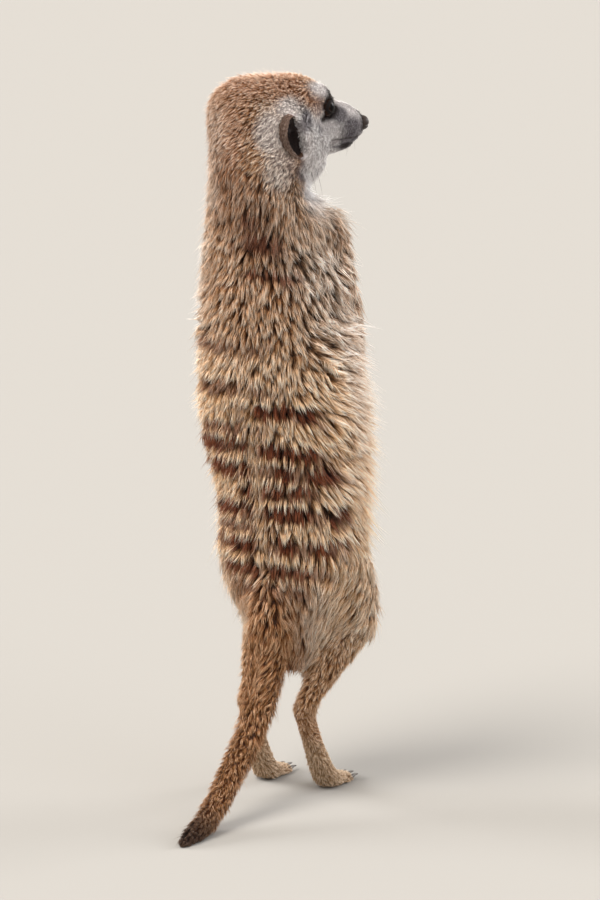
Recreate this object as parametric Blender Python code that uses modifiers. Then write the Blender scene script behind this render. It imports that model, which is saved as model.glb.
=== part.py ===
"""A life-size meerkat, upright on its hind toes and propped by its tail, with its head turned to its right.

The flesh is modelled whole, out to the tips of the coat, as tapered masses that are fused and smoothed. It
is then parted into its named lengths by thin cuts. Eyes, nose, lower jaw, ears and claws are solids of
their own, set into the flesh.

Frame while modelling: +Z up, the animal faces -Y, its left is +X, the floor is Z = 0. At the end the whole
animal is moved so that the origin is the middle of its footprint box. Lengths below are in millimetres.
"""

import math

import bmesh
import bpy
from mathutils import Matrix, Vector

MM = 0.001

# How finely the flesh is fused and faceted, and how closely its pieces meet.
VOXEL = 1.1
SMOOTHING_ROUNDS = 7
FLESH_TRIANGLES = 2450
GAP = 0.32
REACH = 400

# In degrees: faces this close to one plane are merged, and edges sharper than this stay sharp.
FLAT_ENOUGH = 4.0
SHARP = 50

# How finely a ball is made: segments round it.
MASS_SEGMENTS = 28
EYE_SEGMENTS = 12
NOSE_SEGMENTS = 12
EAR_SEGMENTS = 12
CLAW_SEGMENTS = 6

# How finely a loft is made: sides, steps between stations, and the angles of the rings in its end domes.
FINE = (22, 5, (0, 30, 55, 75))
PLAIN = (12, 2, (0, 40, 70))
COARSE = (12, 1, (0, 50))

# How much wider than a limb the cut that parts it is, and a last station beyond the fingers or toes: front
# to back and height from the paw's own last station, half width, half depth.
CUT_ROOM = 1.6
HAND_CUT_END = (-2.0, -13.0, 9.5, 6.5)
FOOT_CUT_END = (-16.0, -1.0, 10.5, 8.0)

# The trunk and neck, from the crotch to the back of the head: height, middle sideways, middle front to
# back, half width, half depth. The animal leans to its left and backwards a little as it stretches up.
TRUNK_STATIONS = [
    (68, 0.0, 7.0, 17.0, 16.0),
    (79, 0.0, 5.0, 25.0, 22.5),
    (92, 0.4, 4.2, 31.0, 29.0),
    (110, 1.2, 3.2, 34.0, 31.8),
    (130, 0.9, 3.2, 34.8, 33.2),
    (150, 2.2, 3.8, 36.6, 36.0),
    (172, 4.2, 6.8, 38.4, 37.4),
    (198, 5.2, 10.8, 36.7, 35.2),
    (222, 6.2, 12.8, 34.2, 33.2),
    (243, 7.2, 15.0, 31.0, 30.5),
    (258, 8.2, 19.2, 27.6, 27.0),
    (268, 9.2, 22.0, 24.0, 23.5),
    (276, 10.0, 22.3, 21.6, 21.2),
    (286, 10.3, 22.0, 22.0, 21.5),
    (300, 10.4, 18.8, 22.0, 20.6),
]
WAIST_HEIGHT = 168
NECK_BASE = (7.5, 18.5, 256)
NECK_BASE_TILT = 14
RUMP_MIDDLE = (13, 13, 101)
RUMP_RADII = (17, 18, 20)

# The head, in its own frame: forwards, to the left, upwards, from the middle of the cranium.
HEAD_MIDDLE = (10, 16, 303)
HEAD_TURN = 38
CRANIUM = ((-0.5, 0, 0), (24.6, 23.6, 22.6))
OCCIPUT = ((-5.4, 0, 6), (20, 20.5, 16.6))
FOREHEAD = ((12, 0, 4.3), (19.8, 18.5, 17.4))
BROW = ((22.6, 7.4, 10.3), (9.2, 7.2, 7.6))
CHEEK = ((7, 10.5, -8.5), (20, 12.5, 14.5))
THROAT = ((11.5, 0, -16.4), (18.4, 15.0, 13.4))
# Forwards, upwards, half width, half height.
MUZZLE_STATIONS = [
    (12, -4.0, 17.5, 14.5),
    (24, -2.4, 13.6, 12.6),
    (32, -2.8, 9.6, 10.6),
    (39, -4.0, 7.4, 9.2),
    (43.8, -5.5, 5.9, 7.5),
]
JAW_STATIONS = [
    (16, -13.0, 9.0, 5.0),
    (26, -13.2, 7.6, 4.6),
    (34, -12.9, 5.6, 3.5),
    (40.5, -12.6, 3.8, 2.7),
]
NOSE = ((48.6, 0, -4.6), (3.0, 3.7, 3.3))
EYE_MIDDLE = (25.4, 9.0, 6.8)
EYE_RADIUS = 4.7
EYE_FACING = (0.62, 0.77, 0.12)
EYE_OPENING_DEPTH = 3.4
EAR_MIDDLE = (3.0, 23.2, -1.5)
EAR_RADII = (6.6, 4.6, 10.8)
EAR_WALL = 1.7
EAR_RIM = 0.9
EAR_FACING_ANGLE = 62
EAR_LEAN = 15
HEAD_CUT = (-2, 0, -21)
HEAD_CUT_TILT = 24

# Each limb runs through these points on the left side: sideways from its own middle line, front to back,
# height, then its half width and half depth there.
CHEST_AXIS = 6.0
SHOULDER = ((20.5, 8, 249), (12.8, 15, 16.8))
ARM_STATIONS = [
    (22.0, 6, 250, 10.5, 11.5),
    (26.2, 2, 228, 9.2, 10.8),
    (26.8, -5, 206, 7.4, 8.4),
]
FOREARM_STATIONS = [
    (26.2, -7, 203, 7.0, 7.2),
    (22.2, -21, 193, 6.0, 5.8),
    (16.8, -33, 180, 4.8, 4.2),
]
HAND_STATIONS = [
    (16.8, -33, 180, 5.0, 4.2),
    (15.0, -37, 170, 6.4, 3.8),
    (14.0, -38.5, 163, 6.8, 3.4),
]
FINGER_SPREAD = (-4.6, -1.6, 1.6, 4.6)
FINGER_RADIUS = 2.15
FINGER_REACH = (153.5, 151.5, 151.5, 153.5)
FINGER_CURL = 1.5
HIP_AXIS = 0.0
THIGH_STATIONS = [
    (14.8, 11, 111, 17.5, 18.0),
    (18.0, -2, 97, 16.0, 17.0),
    (20.5, -13, 76, 12.0, 15.0),
]
SHANK_STATIONS = [
    (20.3, -11, 73, 10.6, 12.8),
    (17.8, 3, 60, 8.0, 9.0),
    (14.8, 16, 48, 5.8, 6.6),
    (13.6, 24, 41, 5.0, 5.4),
]
FOOT_STATIONS = [
    (13.6, 23.5, 40, 4.7, 5.0),
    (14.1, 16, 25, 4.9, 4.4),
    (14.8, 6, 7.5, 6.6, 4.8),
    (15.2, 0, 3.6, 7.4, 4.6),
]
TOE_SPREAD = (-5.4, -1.8, 1.8, 5.4)
TOE_RADIUS = 2.5
TOE_REACH = (-10.5, -13.5, -13.5, -10.5)
TOE_HEIGHT = 1.6

# How much closer together the fingers or toes are at their roots than at their tips.
ROOT_SPREAD = 0.6

# The tail, from its root down to the tip that lies on the floor: front to back, height, radius.
TAIL_STATIONS = [
    (24, 100, 11.0),
    (29.5, 84, 10.4),
    (31.5, 66, 9.5),
    (37.5, 49, 8.5),
    (45.0, 39.2, 7.8),
    (54.6, 30.4, 7.2),
    (66.5, 21.6, 6.7),
    (78.0, 13.6, 6.4),
    (90.0, 7.2, 6.0),
    (101.0, 4.2, 5.2),
    (110.0, 2.8, 3.9),
    (117.0, 1.8, 2.6),
]
# Where each of its lengths starts, front to back and height, and how far the cut faces down.
TAIL_CUTS = {"tail_base": (30, 80, -88), "tail_middle": (56, 29.4, -38), "tail_tip": (92, 6.6, -14)}

# Claws: radius at the root, length, how far the root is sunk in its toe, and which way it points.
FRONT_CLAW = (1.15, 10.5, 2.4, (0, -0.15, -1))
HIND_CLAW = (1.1, 7.0, 2.2, (0, -1, -0.02))
CLAW_TIP = 0.25
CLAW_ARCH = 0.12

SIDES = {"left": 1, "right": -1}

# Each surface: its name, colour and roughness.
FUR = ("coat", (0.47, 0.33, 0.21, 1), 0.9)
DARK_SKIN = ("dark_skin", (0.035, 0.028, 0.026, 1), 0.5)
EYE = ("eye", (0.045, 0.022, 0.012, 1), 0.08)
CLAW = ("claw", (0.07, 0.052, 0.042, 1), 0.4)


# ---------------------------------------------------------------- shapes


def new_object(name, bm):
    """An object with this bmesh as its mesh, in millimetres turned to metres."""
    mesh = bpy.data.meshes.new(name)
    bmesh.ops.scale(bm, vec=(MM, MM, MM), verts=bm.verts)
    bmesh.ops.recalc_face_normals(bm, faces=bm.faces)
    bm.to_mesh(mesh)
    bm.free()
    obj = bpy.data.objects.new(name, mesh)
    bpy.context.scene.collection.objects.link(obj)
    return obj


def ellipsoid(centre, radii, place=Matrix.Identity(4), segments=MASS_SEGMENTS):
    """A ball stretched to three radii, in the frame that place gives."""
    bm = bmesh.new()
    stretch = Matrix.Translation(Vector(centre)) @ Matrix.Diagonal((*radii, 1))
    bmesh.ops.create_uvsphere(
        bm, u_segments=segments, v_segments=segments // 2 + 2, radius=1, matrix=place @ stretch
    )
    return new_object("mass", bm)


def smooth_path(stations, steps):
    """The stations with more between them, on a Catmull-Rom curve through every one."""
    rows = [Vector(row) for row in stations]
    ends = [2 * rows[0] - rows[1], *rows, 2 * rows[-1] - rows[-2]]
    path = []
    for before, start, end, after in zip(ends, ends[1:], ends[2:], ends[3:]):
        for step in range(steps):
            t = step / steps
            path.append(
                0.5
                * (
                    2 * start
                    + (end - before) * t
                    + (2 * before - 5 * start + 4 * end - after) * t**2
                    + (3 * start - before - 3 * end + after) * t**3
                )
            )
    return [*path, rows[-1]]


def loft(stations, place=Matrix.Identity(4), side=Vector((1, 0, 0)), fineness=FINE):
    """A closed skin over ellipses along a path, with domed ends.

    A station is the path's x, y and z, then the half width along side and the half depth across it."""
    sides, steps, dome_angles = fineness
    rows = smooth_path(stations, steps)
    points = [Vector(row[:3]) for row in rows]
    bm = bmesh.new()
    rings = []
    last = len(rows) - 1
    for index, row in enumerate(rows):
        along = (points[min(index + 1, last)] - points[max(index - 1, 0)]).normalized()
        across = (side - along * side.dot(along)).normalized()
        depth = along.cross(across)
        # The first and last sections are followed by a dome, as smaller and smaller rings.
        domes = [(0.0, 1.0)]
        if index in (0, last):
            angles = [math.radians(a) for a in dome_angles]
            domes = [(math.sin(a), math.cos(a)) for a in angles]
        sign = -1 if index == 0 else 1
        made = []
        for push, shrink in domes:
            middle = points[index] + along * (sign * push * min(row[3], row[4]))
            ring = []
            for k in range(sides):
                turn = 2 * math.pi * k / sides
                offset = across * (row[3] * shrink * math.cos(turn)) + depth * (
                    row[4] * shrink * math.sin(turn)
                )
                ring.append(bm.verts.new(place @ (middle + offset)))
            made.append(ring)
        rings += reversed(made) if index == 0 else made
    for low, high in zip(rings, rings[1:]):
        for k in range(sides):
            after = (k + 1) % sides
            bm.faces.new((low[k], low[after], high[after], high[k]))
    for ring in (rings[0], rings[-1]):
        bmesh.ops.contextual_create(bm, geom=[*ring, *ring_edges(ring)])
    return new_object("mass", bm)


def ring_edges(ring):
    """The edges that join a ring's neighbouring vertices."""
    members = set(ring)
    return [e for e in {e for v in ring for e in v.link_edges} if set(e.verts) <= members]


# ---------------------------------------------------------------- joining and cutting


def apply_modifiers(obj):
    """Keeps the object's mesh as its modifiers leave it."""
    graph = bpy.context.evaluated_depsgraph_get()
    mesh = bpy.data.meshes.new_from_object(obj.evaluated_get(graph))
    obj.modifiers.clear()
    obj.data = mesh


def joined(objects):
    """One object that holds the meshes of all of them, still as separate shells."""
    bm = bmesh.new()
    for obj in objects:
        bm.from_mesh(obj.data)
        bpy.data.objects.remove(obj)
    mesh = bpy.data.meshes.new("joined")
    bm.to_mesh(mesh)
    bm.free()
    result = bpy.data.objects.new("joined", mesh)
    bpy.context.scene.collection.objects.link(result)
    return result


def fused(masses, triangles):
    """The masses as one smooth closed surface of about this many triangles."""
    body = joined(masses)
    remesh = body.modifiers.new("Fuse", "REMESH")
    remesh.mode = "VOXEL"
    remesh.voxel_size = VOXEL * MM
    smooth = body.modifiers.new("Smooth", "SMOOTH")
    smooth.factor = 0.5
    smooth.iterations = SMOOTHING_ROUNDS
    apply_modifiers(body)
    thin = body.modifiers.new("Thin", "DECIMATE")
    thin.ratio = triangles / (2 * len(body.data.polygons))
    apply_modifiers(body)
    return body


def copied(obj):
    copy = bpy.data.objects.new(obj.name + "_copy", obj.data.copy())
    bpy.context.scene.collection.objects.link(copy)
    return copy


def boolean(obj, cutter, operation):
    """Cuts obj by the cutter, or keeps only what lies inside it. The cutter stays as it is."""
    modifier = obj.modifiers.new("Cut", "BOOLEAN")
    modifier.operation = operation
    modifier.solver = "EXACT"
    modifier.object = cutter
    apply_modifiers(obj)
    return obj


def swollen(obj, by):
    """A copy of obj, larger by this many millimetres all round."""
    copy = copied(obj)
    push = copy.modifiers.new("Swell", "DISPLACE")
    push.strength = by * MM
    push.mid_level = 0
    apply_modifiers(copy)
    return copy


def keep_largest(obj):
    """Drops the crumbs that a cut leaves beside the main body."""
    bm = bmesh.new()
    bm.from_mesh(obj.data)
    unseen = set(bm.verts)
    islands = []
    while unseen:
        stack = [unseen.pop()]
        island = set(stack)
        while stack:
            for edge in stack.pop().link_edges:
                for vert in edge.verts:
                    if vert in unseen:
                        unseen.discard(vert)
                        island.add(vert)
                        stack.append(vert)
        islands.append(island)
    islands.sort(key=len)
    for island in islands[:-1]:
        bmesh.ops.delete(bm, geom=list(island), context="VERTS")
    bm.to_mesh(obj.data)
    bm.free()
    return obj


def part_off(body, cutter):
    """Takes what lies inside the cutter off the body, as a piece of its own, with a thin gap between."""
    piece = boolean(copied(body), cutter, "INTERSECT")
    wider = swollen(cutter, GAP)
    boolean(body, wider, "DIFFERENCE")
    for helper in (cutter, wider):
        bpy.data.objects.remove(helper)
    return keep_largest(piece)


def set_into(body, piece):
    """Makes room in the body for a piece of its own."""
    wider = swollen(piece, GAP)
    boolean(body, wider, "DIFFERENCE")
    bpy.data.objects.remove(wider)


def half_space(point, facing):
    """A large block whose near face passes through the point; the block lies on the side that it faces."""
    direction = Vector(facing).normalized()
    turn = Vector((0, 0, 1)).rotation_difference(direction).to_matrix().to_4x4()
    middle = Vector(point) + direction * REACH / 2
    bm = bmesh.new()
    bmesh.ops.create_cube(bm, size=REACH, matrix=Matrix.Translation(middle) @ turn)
    return new_object("half_space", bm)


def tilted(degrees):
    """Straight up, leaning forwards by this angle."""
    angle = math.radians(degrees)
    return Vector((0, -math.sin(angle), math.cos(angle)))


def merge_flat_faces(obj):
    """Merges neighbouring faces that lie almost in one plane, such as the slivers that a cut leaves."""
    bm = bmesh.new()
    bm.from_mesh(obj.data)
    limit = math.radians(FLAT_ENOUGH)
    bmesh.ops.dissolve_limit(bm, angle_limit=limit, verts=bm.verts, edges=bm.edges)
    bmesh.ops.triangulate(bm, faces=bm.faces)
    bm.to_mesh(obj.data)
    bm.free()


def finished(obj, name, material):
    """Names the piece, gives it its material and shades it smooth."""
    merge_flat_faces(obj)
    obj.name = name
    obj.data.name = name
    obj.data.materials.clear()
    obj.data.materials.append(material)
    obj.data.shade_smooth()
    obj.data.set_sharp_from_angle(angle=math.radians(SHARP))
    return obj


# ---------------------------------------------------------------- the animal


def head_place():
    """The head's own frame: forwards, left, up."""
    turn = math.radians(HEAD_TURN)
    forwards = Vector((-math.sin(turn), -math.cos(turn), 0))
    up = Vector((0, 0, 1))
    left = up.cross(forwards)
    place = Matrix.Identity(3)
    place.col[0], place.col[1], place.col[2] = forwards, left, up
    return Matrix.Translation(Vector(HEAD_MIDDLE)) @ place.to_4x4()


def mirrored_in_head(point, sign):
    """A point of the head's own frame on the side that the sign gives."""
    return (point[0], sign * point[1], point[2])


def head_masses():
    """Cranium, forehead, throat and muzzle, and a brow and a cheek on each side."""
    place = head_place()
    masses = [ellipsoid(*mass, place) for mass in (CRANIUM, OCCIPUT, FOREHEAD, THROAT)]
    for sign in SIDES.values():
        for middle, radii in (BROW, CHEEK):
            masses.append(ellipsoid(mirrored_in_head(middle, sign), radii, place))
    masses.append(muzzle_loft(MUZZLE_STATIONS))
    return masses


def muzzle_loft(stations, fineness=FINE):
    """A loft along the head's middle plane, for the muzzle and the lower jaw."""
    rows = [(f, 0, u, width, height) for f, u, width, height in stations]
    return loft(rows, head_place(), Vector((0, 1, 0)), fineness)


def limb(stations, axis, sign, fineness=FINE):
    """A limb's loft on one side of its middle line."""
    rows = [(axis + sign * x, y, z, width, depth) for x, y, z, width, depth in stations]
    return loft(rows, fineness=fineness)


def digit_rows(stations, spread, radius, tips):
    """The rows of each finger or toe: from the last station of the paw to its own tip."""
    x, y, z = stations[-1][:3]
    for offset, tip in zip(spread, tips):
        yield (x + ROOT_SPREAD * offset, y, z), (x + offset, *tip), radius


def finger_rows():
    tips = [(HAND_STATIONS[-1][1] - FINGER_CURL, reach) for reach in FINGER_REACH]
    return digit_rows(HAND_STATIONS, FINGER_SPREAD, FINGER_RADIUS, tips)


def toe_rows():
    tips = [(reach, TOE_HEIGHT) for reach in TOE_REACH]
    return digit_rows(FOOT_STATIONS, TOE_SPREAD, TOE_RADIUS, tips)


def digits(rows, axis, sign):
    """Four fingers or toes on one side."""
    made = []
    for start, end, radius in rows:
        ends = [(*start, radius, radius), (*end, radius, radius)]
        made.append(limb(ends, axis, sign))
    return made


def trunk_loft():
    return loft([(x, y, z, width, depth) for z, x, y, width, depth in TRUNK_STATIONS])


def tail_loft(extra=0, fineness=FINE):
    rows = [(0, y, z, radius + extra, radius + extra) for y, z, radius in TAIL_STATIONS]
    return loft(rows, fineness=fineness)


def flesh_masses():
    """Everything that the coat covers, as overlapping masses."""
    masses = [trunk_loft(), tail_loft(), *head_masses()]
    for sign in SIDES.values():
        middle, radii = SHOULDER
        masses.append(ellipsoid((CHEST_AXIS + sign * middle[0], *middle[1:]), radii))
        masses.append(ellipsoid((sign * RUMP_MIDDLE[0], *RUMP_MIDDLE[1:]), RUMP_RADII))
        for stations in (ARM_STATIONS, FOREARM_STATIONS, HAND_STATIONS):
            masses.append(limb(stations, CHEST_AXIS, sign))
        for stations in (THIGH_STATIONS, SHANK_STATIONS, FOOT_STATIONS):
            masses.append(limb(stations, HIP_AXIS, sign))
        masses += digits(finger_rows(), CHEST_AXIS, sign)
        masses += digits(toe_rows(), HIP_AXIS, sign)
    return masses


def eyes_and_sockets():
    """Each eyeball, and the wider opening in front of it."""
    place = head_place()
    facing = Vector(EYE_FACING).normalized()
    for side, sign in SIDES.items():
        middle = Vector(EYE_MIDDLE)
        opening = middle + facing * EYE_OPENING_DEPTH
        ball = ellipsoid(mirrored_in_head(middle, sign), [EYE_RADIUS] * 3, place, EYE_SEGMENTS)
        hole = ellipsoid(mirrored_in_head(opening, sign), [EYE_RADIUS] * 3, place, EYE_SEGMENTS)
        yield side, ball, hole


def ear_place(sign):
    """An ear's own frame: along its rim from back to front, out of its hollow, and up."""
    facing = math.radians(EAR_FACING_ANGLE)
    out = Vector((math.cos(facing), sign * math.sin(facing), 0))
    up = Vector((-math.sin(math.radians(EAR_LEAN)), 0, math.cos(math.radians(EAR_LEAN))))
    up = (up - out * up.dot(out)).normalized()
    along = out.cross(up)
    turn = Matrix.Identity(3)
    turn.col[0], turn.col[1], turn.col[2] = along, out, up
    middle = Matrix.Translation(Vector(mirrored_in_head(EAR_MIDDLE, sign)))
    return head_place() @ middle @ turn.to_4x4()


def ear_bowl(sign):
    """The back half of a stretched ball: closed as a pocket for the head, open as the ear's own shell."""
    bowls = []
    for is_shell in (False, True):
        bm = bmesh.new()
        stretch = Matrix.Diagonal((*EAR_RADII, 1))
        bmesh.ops.create_uvsphere(
            bm, u_segments=EAR_SEGMENTS, v_segments=2 * EAR_SEGMENTS // 3, radius=1, matrix=stretch
        )
        cut = bmesh.ops.bisect_plane(
            bm,
            geom=[*bm.verts, *bm.edges, *bm.faces],
            plane_co=(0, EAR_RIM, 0),
            plane_no=(0, 1, 0),
            clear_outer=True,
        )
        if not is_shell:
            rim = [item for item in cut["geom_cut"] if isinstance(item, bmesh.types.BMEdge)]
            bmesh.ops.contextual_create(bm, geom=rim)
        bmesh.ops.transform(bm, matrix=ear_place(sign), verts=bm.verts)
        bowls.append(new_object("ear", bm))
    pocket, shell = bowls
    wall = shell.modifiers.new("Wall", "SOLIDIFY")
    wall.thickness = EAR_WALL * MM
    wall.offset = -1
    apply_modifiers(shell)
    return pocket, shell


def claw(root, size):
    """A cone that grows out of a finger or toe and arches upwards at its middle."""
    radius, length, sunk, direction = size
    bm = bmesh.new()
    bmesh.ops.create_cone(
        bm,
        cap_ends=True,
        segments=CLAW_SEGMENTS,
        radius1=radius,
        radius2=CLAW_TIP,
        depth=length + sunk,
        matrix=Matrix.Translation((0, 0, (length - sunk) / 2)),
    )
    middle = bmesh.ops.bisect_plane(
        bm, geom=[*bm.verts, *bm.edges, *bm.faces], plane_co=(0, 0, length / 2), plane_no=(0, 0, 1)
    )
    ring = [item for item in middle["geom_cut"] if isinstance(item, bmesh.types.BMVert)]
    turn = Vector((0, 0, 1)).rotation_difference(Vector(direction)).to_matrix().to_4x4()
    bmesh.ops.transform(bm, matrix=Matrix.Translation(root) @ turn, verts=bm.verts)
    bmesh.ops.translate(bm, vec=(0, 0, CLAW_ARCH * length), verts=ring)
    return new_object("claw", bm)


def claws_of(rows, axis, sign, size):
    """A claw at the tip of each finger or toe."""
    return [claw(Vector((axis + sign * end[0], *end[1:])), size) for _, end, _ in rows]


def make_material(name, colour, roughness):
    material = bpy.data.materials.new(name)
    material.use_nodes = True
    shader = material.node_tree.nodes["Principled BSDF"]
    shader.inputs["Base Color"].default_value = colour
    shader.inputs["Roughness"].default_value = roughness
    shader.inputs["Metallic"].default_value = 0
    return material


def add_set_in_pieces(body, materials):
    """Eyes, ears, nose and jaw, each with its room in the flesh."""
    made = []
    for side, ball, hole in eyes_and_sockets():
        boolean(body, hole, "DIFFERENCE")
        bpy.data.objects.remove(hole)
        set_into(body, ball)
        made.append(finished(ball, f"eye_{side}", materials["eye"]))
    for side, sign in SIDES.items():
        pocket, shell = ear_bowl(sign)
        set_into(body, pocket)
        bpy.data.objects.remove(pocket)
        made.append(finished(shell, f"ear_{side}", materials["coat"]))
    jaw = muzzle_loft(JAW_STATIONS, PLAIN)
    set_into(body, jaw)
    made.append(finished(jaw, "lower_jaw", materials["coat"]))
    nose = ellipsoid(*NOSE, head_place(), NOSE_SEGMENTS)
    set_into(body, nose)
    made.append(finished(nose, "nose", materials["dark_skin"]))
    return made


def add_claws(body, materials):
    """Four claws on each hand and foot."""
    made = []
    for side, sign in SIDES.items():
        front = claws_of(finger_rows(), CHEST_AXIS, sign, FRONT_CLAW)
        hind = claws_of(toe_rows(), HIP_AXIS, sign, HIND_CLAW)
        for limb_name, claws in (("hand", front), ("foot", hind)):
            for number, piece in enumerate(claws, 1):
                set_into(body, piece)
                made.append(
                    finished(piece, f"claw_{limb_name}_{side}_{number}", materials["claw"])
                )
    return made


def cut_stations(name, stations):
    """A limb's stations made wide enough to cut it off, with one more beyond the fingers or toes."""
    wide = [(x, y, z, w + CUT_ROOM, d + CUT_ROOM) for x, y, z, w, d in stations]
    beyond = {"hand": HAND_CUT_END, "foot": FOOT_CUT_END}.get(name)
    if beyond:
        x, y, z = stations[-1][:3]
        wide.append((x, y + beyond[0], z + beyond[1], *beyond[2:]))
    return wide


def limb_pieces(body):
    """Parts each limb off the trunk, outermost lengths first. Yields names and pieces."""
    arm = (("hand", HAND_STATIONS), ("forearm", FOREARM_STATIONS), ("upper_arm", ARM_STATIONS))
    leg = (("foot", FOOT_STATIONS), ("shank", SHANK_STATIONS), ("thigh", THIGH_STATIONS))
    for side, sign in SIDES.items():
        for axis, lengths in ((CHEST_AXIS, arm), (HIP_AXIS, leg)):
            for name, stations in lengths:
                cutter = limb(cut_stations(name, stations), axis, sign, COARSE)
                yield f"{name}_{side}", part_off(body, cutter)


def tail_pieces(body):
    """Parts the tail's lengths off, from the tip up. Yields names and pieces."""
    for name, (y, z, degrees) in reversed(TAIL_CUTS.items()):
        angle = math.radians(degrees)
        beyond = half_space((0, y, z), (0, math.cos(angle), math.sin(angle)))
        cutter = boolean(tail_loft(CUT_ROOM, COARSE), beyond, "INTERSECT")
        bpy.data.objects.remove(beyond)
        yield name, part_off(body, cutter)


def trunk_pieces(body):
    """Parts the head, neck and chest off with flat cuts. Yields names and pieces, and leaves the belly."""
    place = head_place()
    lean = math.radians(HEAD_CUT_TILT)
    facing = place.to_3x3() @ Vector((math.sin(lean), 0, math.cos(lean)))
    cuts = (
        ("head", place @ Vector(HEAD_CUT), facing),
        ("neck", Vector(NECK_BASE), tilted(NECK_BASE_TILT)),
        ("chest", Vector((0, 0, WAIST_HEIGHT)), Vector((0, 0, 1))),
    )
    for name, point, direction in cuts:
        yield name, part_off(body, half_space(point, direction))


def build():
    for obj in list(bpy.data.objects):
        bpy.data.objects.remove(obj)
    materials = {look[0]: make_material(*look) for look in (FUR, DARK_SKIN, EYE, CLAW)}
    body = fused(flesh_masses(), FLESH_TRIANGLES)
    floor = half_space((0, 0, 0), (0, 0, -1))
    boolean(body, floor, "DIFFERENCE")
    bpy.data.objects.remove(floor)
    pieces = add_set_in_pieces(body, materials) + add_claws(body, materials)
    for parts in (limb_pieces, tail_pieces, trunk_pieces):
        for name, piece in parts(body):
            pieces.append(finished(piece, name, materials["coat"]))
    pieces.append(finished(keep_largest(body), "belly", materials["coat"]))
    centre_on_floor(pieces)
    collect(pieces, "meerkat")


def centre_on_floor(pieces):
    """Moves every mesh so that the origin is the middle of the footprint box, on the floor."""
    points = [v.co for piece in pieces for v in piece.data.vertices]
    low = [min(p[axis] for p in points) for axis in range(3)]
    high = [max(p[axis] for p in points) for axis in range(3)]
    shift = Vector((-(low[0] + high[0]) / 2, -(low[1] + high[1]) / 2, -low[2]))
    for piece in pieces:
        piece.data.transform(Matrix.Translation(shift))


def collect(pieces, name):
    collection = bpy.data.collections.new(name)
    bpy.context.scene.collection.children.link(collection)
    for piece in pieces:
        for holder in list(piece.users_collection):
            holder.objects.unlink(piece)
        collection.objects.link(piece)


build()
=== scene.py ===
"""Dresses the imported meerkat: one skin over the flesh, a coat of tufts, eyes, nose, whiskers and claws."""
import math

import bmesh
import bpy
import numpy as np
from bpy.props import FloatProperty, PointerProperty
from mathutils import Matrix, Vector
from mathutils.bvhtree import BVHTree
from mathutils.kdtree import KDTree


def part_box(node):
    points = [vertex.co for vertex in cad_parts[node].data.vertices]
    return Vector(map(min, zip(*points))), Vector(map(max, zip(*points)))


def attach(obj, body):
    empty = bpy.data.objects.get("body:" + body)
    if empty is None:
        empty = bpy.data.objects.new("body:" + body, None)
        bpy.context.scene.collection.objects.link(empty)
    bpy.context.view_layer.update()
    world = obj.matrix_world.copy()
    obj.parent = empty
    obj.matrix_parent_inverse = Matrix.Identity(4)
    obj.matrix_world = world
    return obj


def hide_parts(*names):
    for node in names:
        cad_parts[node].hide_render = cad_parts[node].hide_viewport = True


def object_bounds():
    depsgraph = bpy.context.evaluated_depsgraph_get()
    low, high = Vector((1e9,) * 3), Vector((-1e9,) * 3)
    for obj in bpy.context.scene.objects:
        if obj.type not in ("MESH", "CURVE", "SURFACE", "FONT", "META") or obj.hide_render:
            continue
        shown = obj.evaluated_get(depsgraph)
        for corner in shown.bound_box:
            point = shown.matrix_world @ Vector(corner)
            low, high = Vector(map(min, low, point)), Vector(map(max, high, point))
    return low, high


bpy.ops.wm.read_factory_settings(use_empty=True)
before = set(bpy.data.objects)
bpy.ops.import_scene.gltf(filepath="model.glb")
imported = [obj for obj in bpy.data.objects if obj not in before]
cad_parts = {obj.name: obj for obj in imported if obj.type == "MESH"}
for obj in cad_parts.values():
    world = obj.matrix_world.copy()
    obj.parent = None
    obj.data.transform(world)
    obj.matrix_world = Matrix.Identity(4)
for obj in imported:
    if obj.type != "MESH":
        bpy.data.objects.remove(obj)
CAD_BOX = [list(corner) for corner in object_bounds()]

bl_info = {
    "name": "Meerkat dressing",
    "version": (1, 0, 0),
    "blender": (4, 5, 0),
    "location": "View3D > Sidebar > Meerkat",
    "description": "Skin, coat, eyes, nose, whiskers and claws for a standing meerkat",
    "category": "Object",
}

MM = 0.001
SIDES = ("left", "right")

FLESH = ["head", "lower_jaw", "neck", "chest", "belly", "tail_base", "tail_middle", "tail_tip"] + [
    f"{part}_{side}"
    for part in ("ear", "upper_arm", "forearm", "hand", "thigh", "shank", "foot")
    for side in SIDES
]

# Each kind of flesh: how deep its coat stands over the skin and how long its tufts are, both in mm,
# how wide a tuft is in mm, how many there are to a square centimetre, how wide a lock is in mm,
# and how far a lock's tufts draw together at their tips.
COAT_OF = {
    "head": (2.4, 4.4, 0.27, 545, 1.2, 0.22),
    "lower_jaw": (0.7, 2.2, 0.20, 900, 0.9, 0.2),
    "neck": (3.8, 9.0, 0.35, 390, 1.9, 0.52),
    "chest": (4.6, 13.0, 0.41, 285, 2.6, 0.6),
    "belly": (4.8, 13.0, 0.41, 285, 2.6, 0.58),
    "tail_base": (3.0, 7.0, 0.34, 360, 1.6, 0.38),
    "tail_middle": (2.4, 5.2, 0.31, 410, 1.3, 0.33),
    "tail_tip": (1.8, 4.6, 0.29, 460, 1.3, 0.33),
    "ear": (0.4, 2.7, 0.18, 900, 0.9, 0.2),
    "upper_arm": (3.4, 12.0, 0.43, 310, 2.6, 0.68),
    "forearm": (1.9, 6.5, 0.35, 420, 1.7, 0.45),
    "hand": (0.7, 2.6, 0.22, 800, 1.0, 0.2),
    "thigh": (4.2, 12.0, 0.43, 300, 2.6, 0.62),
    "shank": (2.0, 6.0, 0.34, 420, 1.6, 0.4),
    "foot": (0.7, 2.8, 0.22, 800, 1.0, 0.2),
}
DEPTH, LENGTH, WIDTH, DENSITY, LOCK, DRAW = range(6)
# The most triangles that one piece may have.
MOST_TRIANGLES = 190_000


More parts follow.
